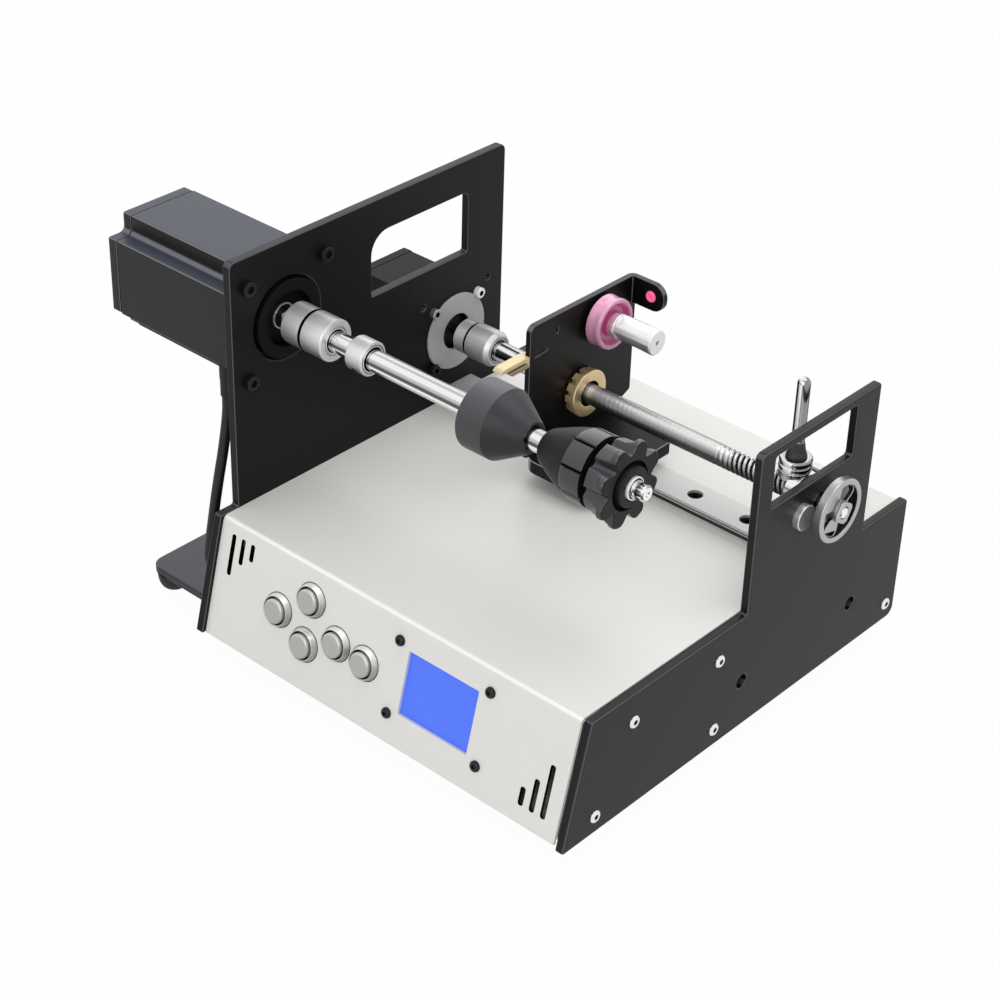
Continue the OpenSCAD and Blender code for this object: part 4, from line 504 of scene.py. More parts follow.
# Head or disc with a hexagon recess, its open end at origin + axis * height; the recess may have its own tag
def socket_head(profile, origin, axis, hex_r, deep, segs=48, tag=0, inside=None):
    top = profile[-1][0]
    verts, faces, tags = turned(profile + [(top, hex_r * 1.02)], origin, axis, segs, tag=tag)
    inside = tag if inside is None else inside
    ax, u, w = basis(axis)
    o = Vector(origin)
    rim = len(verts) - segs
    brink, low, mid = rim + segs, rim + 2 * segs, rim + 3 * segs
    for depth in (0, deep):
        for k in range(segs):
            t = 2 * math.pi * k / segs
            a = ((t - 0.3) % (math.pi / 3)) - math.pi / 6
            r = hex_r * math.cos(math.pi / 6) / math.cos(a)
            verts.append(o + ax * (top - depth) + (u * math.cos(t) + w * math.sin(t)) * r)
    verts.append(o + ax * (top - deep - 0.25 * hex_r))
    for k in range(segs):
        j = (k + 1) % segs
        faces.append((rim + k, rim + j, brink + j, brink + k))
        faces.append((brink + k, brink + j, low + j, low + k))
        faces.append((low + k, low + j, mid))
        tags += [tag, inside, inside]
    return verts, faces, tags


# Faces of a tube that runs through rows of n points, its two ends last
def tube_faces(rows, n):
    faces = [(i * n + k, i * n + (k + 1) % n, (i + 1) * n + (k + 1) % n, (i + 1) * n + k) for i in range(rows - 1)
        for k in range(n)]
    return faces + [tuple(range(n))[::-1], tuple((rows - 1) * n + k for k in range(n))]


# Profile of a plain rod
def rod(x0, x1, r):
    return [(x0, 0), (x0, r), (x1, r), (x1, 0)]


# Shank of a screw, behind the face its head stands on
def shank(origin, axis, r, length, top=0.3):
    return turned(rod(-length, top, r), origin, axis, 24)


# Quarter of an ellipse, from (a, 0) to (0, b)
def quarter(a, b, n):
    return [(a * math.cos(math.pi / 2 * k / n), b * math.sin(math.pi / 2 * k / n)) for k in range(n + 1)]


# Housing

# Places (x, up the slope) of the buttons, and the display's window
BUTTONS = {"left": (42.5, 31), "up": (61, 44.2), "down": (61, 22), "right": (79.5, 31), "enter": (97.2, 29.7)}
WINDOW = (120.5, 16, 161.1, 46.8)
# Share of the slope that each vent slot takes: left group, right group
VENTS = [(0.343, 0.43), (0.214, 0.264), (0.144, 0.15)]
VENT_X, VENT_STEP = 8.4, 6.2


# Side wall of a vent slot, painted dark as shade: a face on the panel, near either end, that doesn't look outward
def in_vent(corners):
    a, b, c = corners[:3]
    n = (b - a).cross(c - b)
    mid = sum(corners, Vector()) / len(corners)
    near_end = 6 < min(mid.x, TRAY_W - mid.x) < 23.5
    return near_end and 1 < mid.z < TRAY_H - 3.5 and n.length > 0 and abs(n.normalized().dot(OUTWARD)) < 0.5


def capsule(x, lo, hi, w):
    return box_outline(x - w / 2, lo, x + w / 2, hi, w * 0.45)


def housing():
    fold_r = 3
    fold_z = TRAY_H - fold_r
    fold_y = (fold_r + fold_z * SA) / CA
    fold_t = (fold_z + fold_r * SA) / CA
    slope = math.hypot(LEAN, TRAY_H)
    holes = []
    for i, (left, right) in enumerate(VENTS):
        x = VENT_X + VENT_STEP * i
        holes.append(capsule(x, slope * (1 - left) - 6, slope - 6, 2.6))
        holes.append(capsule(TRAY_W - x, 8.3, 8.3 + slope * right, 2.9))
    holes.append(box_outline(*WINDOW, 0.25))
    holes += [circle(x, t, 7.7, 48) for x, t in BUTTONS.values()]
    panel = slab([box_outline(0, 0, TRAY_W, fold_t)] + holes, on_panel(0, 0, -SHEET), XDIR, UPSLOPE, SHEET)
    slots = [box_outline(x, y, x + 9, y + 3.4) for x, y in ((168, 234.6), (164.6, 227.8))]
    top = slab([box_outline(0, fold_y, TRAY_W, TRAY_D)] + slots, (0, 0, TRAY_H - SHEET), XDIR, YDIR, SHEET)
    steps = 12
    turns = [math.pi - TILT + (TILT - math.pi / 2) * k / steps for k in range(steps + 1)]
    verts = [(x, fold_y + r * math.cos(a), fold_z + r * math.sin(a)) for x in (0, TRAY_W) for r in (fold_r,
        fold_r - SHEET) for a in turns]
    n = len(turns)
    faces = [(a + k, a + k + 1, a + 2 * n + k + 1, a + 2 * n + k) for a in (0, n) for k in range(steps)]
    flanges = [slab([box_outline(24, 36, 235.5, 57.2, 2)], (x, 0, 0), YDIR, ZDIR, SHEET)
        for x in (0, TRAY_W - SHEET)]
    build("housing_cover_sheet", "sheet dark", [tagged(panel, in_vent), top, (verts, faces, 0)] + flanges,
        "housing_cover", angle=30, weighted=True)


def buttons():
    ring = [(-11, 0), (-11, 6.6), (2.4, 6.6, 0.3), (3, 6.85, 0.25), (2.9, 7.15, 0.3), (0.55, 7.95, 0.35),
        (0.05, 8.1), (0, 7.6), (-8, 7.6)]
    # The gap inside the bezel and the line round its foot are painted dark as shade
    gap = [(-4, 6.59), (2.2, 6.59), (2.2, 6.3), (-4, 6.3)]
    painted_shade_line = [(0.02, 8), (0.16, 8), (0.16, 8.36), (0.02, 8.36)]
    cap = [(-9, 0), (-9, 2), (-6, 2), (-6, 5.8), (3.9, 5.82, 0.9), (4.45, 4.8, 1.6), (4.5, 0)]
    parts = []
    for place in BUTTONS.values():
        for profile, tag in ((ring, 0), (gap, 1), (painted_shade_line, 1)):
            parts.append(turned(profile, on_panel(*place), OUTWARD, 64, False, tag=tag))
    build("button_bezel_rings", "bezel dark", parts, "button_bezels")
    for name, place in BUTTONS.items():
        build("button_%s_cap" % name, "button", [turned(cap, on_panel(*place), OUTWARD, 72)], "button_" + name,
            "button_" + name)


def display():
    glass = slab([box_outline(118.5, 14, 163.1, 48.8, 0.5)], on_panel(0, 0, -4.5), XDIR, UPSLOPE, 2.9, 0.2)
    board = slab([box_outline(111.2, 10.3, 170.4, 52.5, 1.5)], on_panel(0, 0, -6.1), XDIR, UPSLOPE, 1.6, 0.1, 1)
    build("display_glass", "glass board", [glass, board], "lcd_display", weighted=True)
    parts = []
    for o in [on_panel(x, t) for x in (114.5, 167.1) for t in (13.6, 49.2)]:
        parts.append(socket_head([(0, 0), (0, 2.6), (1, 2.5, 0.5), (1.6, 1.7, 0.5)], o, OUTWARD, 1, 0.9, 40))
        parts.append(shank(o, OUTWARD, 1.4, 9))
    build("display_screws", "blackscrew", parts, "lcd_screws")


# Side plates

# Height of both plates behind their windows, and places (y, z) of the screws in them
REAR = TRAY_H + 3
PLATE_SCREWS = [(20.8, 5.6), (101.4, 5.6), (233.8, 5.6), (43.4, 43), (101.4, 43)]
SUPPLY_SCREWS = [(120.4, 21.5), (202.7, 21.5)]


def plates():
    low, top, tall = TRAY_H + 0.5, 182.5, 31.7
    win = top - 17
    loops = [outline([(-2, 0, 0.6), (-2 + LEAN * low / TRAY_H, low, 1.2), (23.5, low, 1.2), (23.5, top, 3.5),
        (201, top, 3.5), (201, REAR, 1.2), (242, REAR, 3.5), (242, 0, 0.6)]),
        outline([(110.5, win - tall, 1), (175.5, win - tall, 1), (175.5, win, 3), (110.5, win, 11)]),
        circle(*SPIN, 20.5, 96), circle(*SCREW, 11.2)]
    for big, small in zip(corners_of(MOTOR_HOLES), corners_of(SMALL_HOLES)):
        loops.append(circle(SPIN[0] + big[0], SPIN[1] + big[1], 2.6, 24))
        loops.append(circle(SCREW[0] + small[0], SCREW[1] + small[1], 1.65, 20))
    loops += [circle(SCREW[0] + y, SCREW[1] + 20.5, 1.6, 24) for y in (-22.1, 23.3)]
    loops.append(circle(19, 16.5, 5, 32))
    build("left_plate_body", "shaded_left_plate", [wall((0, 0), loops, -PLATE, PLATE, 0.7)], "left_side_plate",
        weighted=True)
    low, top, foot = TRAY_H - 0.5, 138.5, -4
    win = top - 4.5
    loops = [outline([(1.6 + LEAN * foot / TRAY_H, foot, 1.2), (1.6 + LEAN * low / TRAY_H, low, 1.2),
        (119.5, low, 1.2), (119.5, top, 3.5), (206, top, 1.6), (206, REAR, 1.2), (242, REAR, 1.6),
        (242, foot, 5)]), box_outline(129.5, win - 26, 189, win, 1.6), circle(*SCREW, 4.8, 32)]
    loops += [circle(SCREW[0] + y, SCREW[1], 3.1, 24) for y in (-15, 15)]
    loops += [circle(y, z, 3.5, 32) for y, z in SUPPLY_SCREWS]
    build("right_plate_body", "plate", [wall((0, 0), loops, TRAY_W, PLATE, 1)], "right_side_plate", weighted=True)
    # Black screws sunk in the two large holes
    build("supply_screws", "blackscrew", [socket_head([(0, 0), (0, 3.4), (1.2, 3.4, 0.3)], (TRAY_W + 0.3, y, z),
        XDIR, 1.5, 1, 32) for y, z in SUPPLY_SCREWS])
    # Bright heads on the faces of both plates, and dark discs in their sockets, painted shade
    heads, sockets = [], []
    for y, z in PLATE_SCREWS:
        for x, side in ((TRAY_W + PLATE, 1), (-PLATE, -1)):
            heads.append(socket_head([(0, 0), (0, 3, 0.1), (0.5, 3, 0.25), (1.15, 2.45, 0.3)], (x, y, z),
                XDIR * side, 1.4, 0.9, 40))
            sockets.append(turned([(0, 0), (0, 1.55), (0.45, 1.55, 0.1), (0.5, 0)], (x + 0.3 * side, y, z),
                XDIR * side, 24))
    build("plate_screw_heads", "brightscrew", heads, "plate_screws")
    build("plate_screw_socket_shade", "dark", sockets)


def base():
    thick, front, back, left = 4, 19, 218, -61.5
    loop = outline([(left, front, 7), (TRAY_W, front, 0), (TRAY_W, back, 0), (left, back, 7)])
    build("base_plate_body", "base", [slab([loop], (0, 0, -thick), XDIR, YDIR, thick, 0.5)], "base_plate",
        weighted=True)
    foot = [(8, 0)] + [(a, 4.5 + r) for a, r in quarter(8, 3.5, 10)] + [(0, 0)]
    build("foot_pads", "rubber", [turned(foot, (x, y, -thick), -ZDIR, 48) for x, y in ((-52.5, 26.5), (-52.5, 207),
        (180.5, 36), (180.5, 207))], "rubber_feet")


# Motors

# Square with a notch at each corner, as the spindle motor's laminations have
def notched(w):
    h, c = w / 2, w / 2 - 9.4
    corner = [(c, h, 0.8), (c, c, 3), (h, c, 0.8)]
    right = corner + [(y, -z, r) for y, z, r in corner[::-1]]
    return outline(right + [(-y, -z, r) for y, z, r in right], 5)


# Square with cut corners, as the guide motor has
def chamfered(w):
    h, c = w / 2, w / 2 - 4.6
    right = [(c, h, 0.3), (h, c, 0.3), (h, -c, 0.3), (c, -h, 0.3)]
    return outline(right + [(-y, -z, r) for y, z, r in right], 3)


# Circle of radius r with four round nicks of radius q at distance d on the diagonals
def nicked(r, d, q):
    a = math.acos((r * r + d * d - q * q) / (2 * r * d))
    b = math.acos((q * q + d * d - r * r) / (2 * q * d))
    pts = []
    for k in range(4):
        mid = math.pi / 4 + k * math.pi / 2
        for i in range(13):
            t = mid + math.pi + b - 2 * b * i / 12
            pts.append(Vector((d * math.cos(mid) + q * math.cos(t), d * math.sin(mid) + q * math.sin(t))))
        for i in range(1, 24):
            t = mid + a + (math.pi / 2 - 2 * a) * i / 24
            pts.append(Vector((r * math.cos(t), r * math.sin(t))))
    return pts


def motors():
    # Spindle motor: flange behind the plate, stack and pilot; then its end cap with a dark seam
    h, stack, cap = MOTOR_W / 2, 77.3, 83.5
    flange = [box_outline(-h, -h, h, h, 5)] + [circle(y, z, 2.45, 24) for y, z in corners_of(MOTOR_HOLES)]
    build("spindle_motor_body", "motor stack pilot", [wall(SPIN, flange, -9.5, 5, 0.4),
        wall(SPIN, [notched(MOTOR_W - 0.3)], -PLATE - stack, 72.6, 0.3, 1),
        around(SPIN, [(-9, 0), (-9, 19.05), (1.6, 19.05, 0.4), (1.6, 13.5, 0.3), (-3, 13.2), (-3, 0)], tag=2)],
        "spindle_motor", weighted=True)
    build("spindle_motor_ring", "brightscrew", [around(SPIN, [(-3.1, 5.6), (-2.2, 5.6, 0.15), (-2.2, 6.3, 0.15),
        (-3.1, 6.3)], 64)])
    x, plan = -PLATE - cap, notched(MOTOR_W - 0.8)
    build("spindle_motor_end", "motor dark", [wall(SPIN, [plan], x + 1, 4.25, 0.4),
        wall(SPIN, [plan, circle(0, 0, 19)], x, 1.4, 0.35),
        around(SPIN, [(x + 1.2, 0), (x + 0.5, 0), (x + 0.5, 8, 0.3), (x + 1.1, 8.3)], 48),
        wall(SPIN, [notched(MOTOR_W - 1.5)], x + 5.2, 1.05, tag=1)], "spindle_motor_cap", weighted=True)
    parts = []
    for y, z in corners_of(MOTOR_HOLES):
        o = (0, SPIN[0] + y, SPIN[1] + z)
        parts.append(socket_head([(0, 0), (0, 3.6, 0.1), (2.6, 3.6, 0.4)], o, XDIR, 2, 1.5))
        parts.append(shank(o, XDIR, 2.4, 9.4))
    build("spindle_motor_screws", "blackscrew", parts, "spindle_motor_bolts")

    # Guide motor, built the same way
    body, cap = 40.9, 46.1
    build("guide_motor_body", "small small pilot", [wall(SCREW, [chamfered(SMALL_W)], -PLATE - 8, 8, 0.3),
        wall(SCREW, [chamfered(SMALL_W - 0.8)], -PLATE - body, 33.2, 0.1, 1),
        around(SCREW, [(-7, 0), (-7, 11), (-2.5, 11, 0.3), (-2.5, 0)], 64, tag=2)], "guide_motor", weighted=True)
    x, plan = -PLATE - cap, chamfered(SMALL_W - 0.4)
    build("guide_motor_end", "small", [wall(SCREW, [plan], x + 1, 4.1, 0.35),
        wall(SCREW, [plan, circle(0, 0, 11)], x, 1.4, 0.35)], "guide_motor_cap", weighted=True)
    # One of the photo's four heads is black, one satin and two are white; their sockets are painted dark as shade
    parts = []
    for y, z, tag in ((-1, 1, 0), (1, 1, 2), (-1, -1, 1), (1, -1, 1)):
        o = (0, SCREW[0] + y * SMALL_HOLES, SCREW[1] + z * SMALL_HOLES)
        parts.append(socket_head([(0, 0), (0, 2.75, 0.1), (3, 2.75, 0.45)], o, XDIR, 1.5, 1.5, 40, tag, 3))
        parts.append(shank(o, XDIR, 1.4, 8.9))
    build("guide_motor_bolts", "satin blackscrew whitescrew dark", parts, "guide_motor_screws")
    build("guide_motor_ring", "disc", [wall(SCREW, [nicked(19.7, 21.92, 2.95), circle(0, 0, 9.3)], 0.02, 1.28,
        0.15)], "guide_motor_disc", weighted=True)


# Spindle

# A turned ring whose bore mouth is painted dark as shade: beyond x and inside r
def ringed(name, profile, centre, body, replaces, x, r):
    build(name, "turned dark", [around(centre, profile, tag=lambda a, q, t: a > x and q < r)], replaces, body)


def spindle():
    build("spindle_motor_axle", "chrome", [around(SPIN, [(-30.5, 0), (-30.5, 3.175), (16.1, 3.175, 0.2),
        (16.1, 0)], 48)], "spindle_motor_shaft", "spindle")
    ringed("spindle_coupling_left", [(5.6, 3.2), (5.6, 9.5, 0.15), (6.1, 10, 0.3), (16.6, 10, 0.1), (16.9, 9.8),
        (16.9, 3.2)], SPIN, "spindle", "spindle_coupling_a", 16.55, 10)
    build("spindle_coupling_insert", "dark", [around(SPIN, rod(16.9, 18, 9.3), 64)], "coupling_spider", "spindle")
    ringed("spindle_coupling_right", [(18, 5.02), (18, 9.8, 0.1), (18.2, 10, 0.1), (30.2, 10, 0.4),
        (30.8, 9.3, 0.3), (30.8, 7, 0.15), (30.2, 6.7, 0.1), (30.2, 6.3, 0.1), (30.7, 6.1, 0.15), (30.7, 5.5, 0.1),
        (29.6, 5.35), (29.6, 5.02)], SPIN, "spindle", "spindle_coupling_b", 29, 5.45)
    # Shaft, then the threaded stud with its smooth end
    build("spindle_rod", "chrome", [around(SPIN, [(19, 0), (19, 5), (169.2, 5, 0.3), (170, 4), (201.9, 4),
        (202.4, 3.5), (202.4, 3.1), (203.4, 3.1), (203.4, 3.6, 0.15), (203.6, 3.7, 0.1), (206.9, 3.7, 0.4),
        (207.7, 2.9, 0.3), (207.7, 1.2, 0.1), (207.2, 0.9), (207.2, 0)])], "spindle_shaft", "spindle")
    ringed("shaft_collar_ring", [(43.8, 5.02), (43.8, 7.4, 0.2), (44.5, 8.1, 0.25), (53.3, 8.1, 0.35),
        (53.9, 7.4, 0.3), (53.9, 6.9, 0.15), (53.2, 6.7, 0.1), (53.2, 6.45, 0.1), (53.8, 6.2, 0.15),
        (53.8, 5.7, 0.1), (52.6, 5.5), (52.6, 5.02)], SPIN, "spindle", "shaft_collar", 52, 5.6)
    build("shaft_collar_screw", "blackscrew", [socket_head([(0, 0), (0, 1.6), (8.25, 1.6, 0.1)], (48.9, *SPIN),
        (0, -0.8, -0.6), 0.9, 1, 32)], body="spindle")


# Steps in degrees over one pad and the groove after it, closer together at the groove's sides
PADS = 8
PAD_STEPS = [0, 4, 8, 11, 13.5, 15.5, 17, 17.8, 18.3, 18.8, 19.3, 20.5, 22.5, 24.5, 25.7, 26.2, 26.7, 27.2, 28,
    29.5, 31.5, 34, 37, 41]


def spread(steps, count):
    return [math.radians(360 / count * i + s) for i in range(count) for s in steps]


# Depth share of the groove between two pads, half its width and its side given in degrees: 0 on the
# pad, 1 in the groove
def groove_share(t, half, edge, count):
    s = 360 / count
    d = abs(math.degrees(t) % s - s / 2)
    q = max(0, min(1, (half + edge - d) / edge))
    return q * q * (3 - 2 * q)


# Outline of the hand nut's star, as reach by angle: eight round lobes with softened valleys
def star():
    reach, root, lobe, n, soft = 19.4, 14, 4.1, 480, 5
    d, s = reach - lobe, 360 / PADS
    raw = []
    for i in range(n):
        a = math.radians(((360 * i / n + s / 2) % s) - s / 2)
        off = abs(d * math.sin(a))
        r = root
        if off < lobe:
            r = max(r, d * math.cos(a) + math.sqrt(lobe * lobe - off * off))
        elif lobe / abs(math.sin(a)) * math.cos(a) <= d:
            r = max(r, lobe / abs(math.sin(a)))
        raw.append(r)
    return {math.radians(360 * i / n + s / 2): sum(raw[(i + k) % n]
        for k in range(-soft, soft + 1)) / (2 * soft + 1) for i in range(n)}


def cones():
    build("left_cone_body", "cone barrel", [around(SPIN, [(119, 5.05), (119, 10), (117, 10.4, 0.4),
        (117, 16.2, 0.9), (131.5, 16.2, 0.25), (147, 7.2, 0.35), (146.6, 5.9, 0.2), (145.8, 5.05)], 128,
        tag=lambda x, r, t: x < 131.45)], "left_cone", "left_cone", 28)

    # Right cone: a curved nose, then the band of pads with grooves between them; the grooves and the face next to the
    # nut are painted dark as shade
    curve = math.radians(60)
    profile = [(154.9, 5.05), (154.7, 7, 0.3)]
    profile += [(154.7 + 20 * k / 18, 7.5 + 8 * math.sin(curve * k / 18) / math.sin(curve)) for k in range(1, 18)]
    profile += [(174.6, 15.5), (174.9, 15.85, 0.2), (184.2, 15.9, 0.5), (184.7, 15.3), (184.7, 5.05)]
    start, full = 173.2, 174

    def grooved(r, t, x):
        if x < start or r < 12:
            return r
        return r - min(1, (x - start) / (full - start)) * groove_share(t, 1.6, 1, PADS)

    def band(x, r, t):
        if x <= 173.6 or r <= 12:
            return 0
        return 2 if x > 184.3 or groove_share(t, 1.6, 1, PADS) > 0.4 else 1

    build("right_cone_body", "ogive pad dark", [around(SPIN, profile, shape=grooved,
        angles=spread(PAD_STEPS, PADS), steps=4, tag=band)], "right_cone", "right_cone", 32)

    # Nut: neck, then eight lobes that flare from the grip's radius to the star's; the neck, the recess in the star's
    # face and the sleeve's bore mouth are painted dark as shade
    reach = star()

    def lobed(r, t, x):
        cut = 0.7 if x > 198.5 else (0.25 if x > 198.2 else 0)
        return r if r < 15.5 else min(r, reach[t] - cut)

    build("hand_nut_body", "pad star dark", [around(SPIN, [(185, 4.35), (185, 13.2, 0.3), (187.4, 13.2),
        (187.4, 16), (187.7, 16.5), (190, 16.7), (193, 17), (194.8, 17.7), (196.1, 19.4), (197.6, 19.4),
        (198.3, 18.9), (198.7, 18.2), (198.7, 11.3, 0.3), (198.4, 11), (197.3, 10.8), (197.3, 9.2),
        (200.2, 9, 0.5), (200.7, 8.4, 0.4), (200.7, 6, 0.3), (200, 5.24)], shape=lobed, angles=list(reach),
        tag=lambda x, r, t: 2 if x < 187.5 or (x < 198 and r < 11) else int(x > 198.25))], "hand_nut", "hand_nut",
        34, weighted=True)
    build("hand_nut_sleeve", "whitescrew dark", [around(SPIN, [(185.7, 4.05), (185.7, 5.2), (201.7, 5.2, 0.3),
        (201.7, 4.6, 0.15), (200.9, 4.5, 0.1), (200.9, 4.05)], 64, tag=lambda x, r, t: x > 200 and r < 4.5)],
        "hand_nut_insert", "hand_nut")


# Lead screw, hand wheel and end block

# Screw thread from x0 to x1 round an axis along X: crest radius r, depth d, pitch p, with that many starts.
# It is only a trace before faint[0], and has its full depth from faint[1] on
def thread(centre, x0, x1, r, d, p, starts, faint):
    segs, flat, run_out = 56, 0.25, 0.8
    n = int((x1 - x0) / p * 12)
    ax, u, w = basis(XDIR)
    o = Vector((0, *centre))
    verts, radii = [], []
    for i in range(n + 1):
        x = x0 + (x1 - x0) * i / n
        end = min(1, (x1 - x) / run_out)
        start = min(1, (x - x0) / run_out)
        deep = d * (0.025 + 0.975 * max(0, min(1, (x - faint[0]) / (faint[1] - faint[0]))))
        for k in range(segs):
            t = 2 * math.pi * k / segs
            ph = (x / (p * starts) - t / (2 * math.pi)) * starts
            wave = abs(ph - math.floor(ph) - 0.5) * 2
            h = max(0, min(1, (wave - flat) / (1 - 2 * flat)))
            rr = (r - deep) + deep * h * min(end, start)
            if end < 1:
                rr = min(rr, r - deep * 1.2 * (1 - end))
            verts.append(o + ax * x + (u * math.cos(t) + w * math.sin(t)) * rr)
            radii.append(rr)
    faces = tube_faces(n + 1, segs)
    # The lower part of the groove is painted dark as shade
    return verts, faces, [sum(radii[v] for v in f) / 4 < r - 0.62 * d for f in faces[:-2]] + [0, 0]


def lead():
    build("guide_motor_axle", "chrome", [around(SCREW, rod(-24.5, 12.9, 2.5), 32)], "guide_motor_shaft",
        "lead_screw")
    ringed("guide_coupling_left", [(6.2, 2.52), (6.2, 7.9, 0.15), (6.7, 8.4, 0.3), (12.9, 8.4, 0.1), (13.1, 8.2),
        (13.1, 2.52)], SCREW, "lead_screw", "guide_coupling_a", 12.85, 9)
    ringed("guide_coupling_right", [(13.9, 5.02), (13.9, 8.3, 0.15), (14.5, 9, 0.3), (26.6, 9, 0.6),
        (28.9, 7.6, 0.3), (28.9, 6.7, 0.1), (28.2, 6.5, 0.1), (28.2, 6.2, 0.1), (28.8, 6, 0.1), (28.8, 5.5, 0.1),
        (27.6, 5.4), (27.6, 5.02)], SCREW, "lead_screw", "guide_coupling_b", 27.2, 5.5)
    # Painted shade: a dark disc in the gap between the coupling's halves
    build("guide_coupling_gap_shade", "dark", [around(SCREW, [(13, 2.52), (13, 7.6), (14.1, 7.6), (14.1, 2.52)], 64)],
        body="lead_screw")
    build("lead_screw_ends", "chrome", [around(SCREW, rod(14.9, 70, 5), 64),
        around(SCREW, [(203.6, 0), (203.6, 4), (221, 4), (221, 3), (230.8, 3, 0.3), (231.6, 2.3), (231.6, 0)],
        48)], body="lead_screw")
    build("lead_screw_thread", "screw dark", [thread(SCREW, 69.5, 204.25, 5, 0.95, 8 / 3, 3, (162, 176))],
        "lead_screw", "lead_screw", 50)

    # Hand wheel: rim, hub and a web with two openings, which leave two spokes
    x0, x1, spokes = 225, 230, math.radians(57.4)
    rim = around(SCREW, [(x0, 12.5), (x0, 14.5, 0.5), (x0 + 0.8, 15.3, 0.5), (x1 - 0.7, 15.3, 0.6),
        (x1, 14.6, 0.5), (x1, 12.9, 0.4), (x1 - 0.6, 12.5, 0.3)], 128)
    hub = around(SCREW, [(221, 3.02), (221, 4.8, 0.4), (228.6, 4.8, 0.3), (228.6, 3.02)], 64)
    opening = outline([(5, -3.3, 1.4), (12, -6, 2.4), (12, 6, 2.4), (5, 3.3, 1.4)], 6)
    web = wall(SCREW, [circle(0, 0, 12.7, 96), spun(opening, spokes), spun(opening, spokes + math.pi)], x0 + 1.4,
        2.2, 0.3)

    # The walls of the openings and the inside of the rim are painted dark as shade
    def inner_wall(corners):
        xs = [p.x for p in corners]
        rs = [math.hypot(p.y - SCREW[0], p.z - SCREW[1]) for p in corners]
        return max(xs) - min(xs) > 1 and min(rs) > 4.9 and max(rs) < 12.65

    build("hand_wheel_body", "satin cap", [tagged(join([rim, hub, web]), inner_wall)], "hand_wheel", "lead_screw",
        weighted=True)
    nut = [(4.9, -3.3, 0.6), (4.9, 3.3, 0.6), (3.3, 4.9, 0.6), (-3.3, 4.9, 0.6)]
    nut = outline(nut + [(-y, -z, r) for y, z, r in nut], 3)
    build("hand_wheel_nut", "satin", [wall(SCREW, [spun(nut, spokes), circle(0, 0, 3.02, 32)], 228.6, 3, 0.45)],
        "wheel_nut", "lead_screw", weighted=True)

    # End block on the right plate, with the lug that holds the upright post
    build("end_block_body", "chrome", [wall(SCREW, [box_outline(-21.2, -6.2, 21.2, 6.2, 5.6),
        circle(0, 0, 4.4, 32)], TRAY_W - 3, 3, 0.4), around(SCREW, [(204, 8.02), (204, 8.9, 0.25),
        (204.3, 9.2, 0.2), (209.6, 9.2, 0.4), (210.2, 8.4, 0.3), (210.3, 6.4), (212, 6.4), (212, 4.4),
        (209.6, 4.4), (209.6, 8.02)]), slab([circle(*UPRIGHT[:2], 7.4)], (0, 0, 100.2), XDIR, YDIR, 3.8, 0.35)],
        "end_block", weighted=True)
    parts = []
    for y in (-15, 15):
        o = (TRAY_W + PLATE, SCREW[0] + y, SCREW[1])
        parts.append(turned([(0, 0), (0, 6.1), (2.9, 6.1, 0.15), (3.2, 5.8, 0.1), (3.2, 0)], o, XDIR, 64,
            tag=lambda a, r, t: a > 3.1))
        parts.append(shank(o, XDIR, 2.9, 9, 0.5))
    build("end_block_screws", "brightscrew head", parts, "end_block_bolts")
    build("end_bearing_ring", "brightscrew", [around(SCREW, [(204.6, 4.05), (204.6, 5.2, 0.15), (205.1, 5.3),
        (205.1, 6.8), (204.6, 6.9, 0.15), (204.6, 8, 0.1), (209.6, 8), (209.6, 4.05)], 64)], "end_bearing")
    # Post and ring nut
    foot = 110
    profile = [(102.2, 0), (102.2, 3), (foot - 0.3, 3), (foot, 4.9, 0.3), (foot + 1.2, 4.7, 0.8),
        (foot + 3.2, 4, 1.5), (foot + 8, 3.05, 3), (146.7, 3)]
    profile += [(146.5 + a, r) for r, a in quarter(3, 3, 8)[1:]]
    build("guide_post_rod", "post foot", [turned(profile, UPRIGHT, ZDIR, 64,
        tag=lambda a, r, t: foot - 0.4 < a < foot + 6.5)], "guide_post")
    build("post_nut_ring", "post", [turned([(104, 3.02), (104, 7.2, 0.4), (105, 7.6, 0.6), (106.3, 7.5, 0.4),
        (107, 6.7, 0.4), (107.7, 7.5, 0.4), (109.2, 7.6, 0.6), (110, 7, 0.4), (110, 5), (109.6, 3.02)], UPRIGHT,
        ZDIR)], "post_nut")


# Carriage

# Cuts a part along planes of constant y, so that it can be bent there
def cut_across(part, places):
    me = bpy.data.meshes.new("tmp")
    me.from_pydata([tuple(p) for p in part[0]], [], part[1])
    bm = bmesh.new()
    bm.from_mesh(me)
    bmesh.ops.remove_doubles(bm, verts=bm.verts, dist=1e-4)
    for y in places:
        bmesh.ops.bisect_plane(bm, geom=bm.verts[:] + bm.edges[:] + bm.faces[:], dist=1e-4, plane_co=(0, y, 0),
            plane_no=(0, 1, 0))
    bm.verts.index_update()
    verts, faces = [v.co.copy() for v in bm.verts], [tuple(v.index for v in f.verts) for f in bm.faces]
    bm.free()
    bpy.data.meshes.remove(me)
    return verts, faces


# Mills a flat into the axle's handle, on its upper front side
def flatted(r, t, x):
    if 93.5 < x < 107.5 and r > 4:
        for mid, lim in ((115, 5.2), (215, 4.8)):
            a = abs(((t - math.radians(mid) + math.pi) % (2 * math.pi)) - math.pi)
            if a < 1.2 and r * math.cos(a) > lim:
                return lim / math.cos(a)
    return r


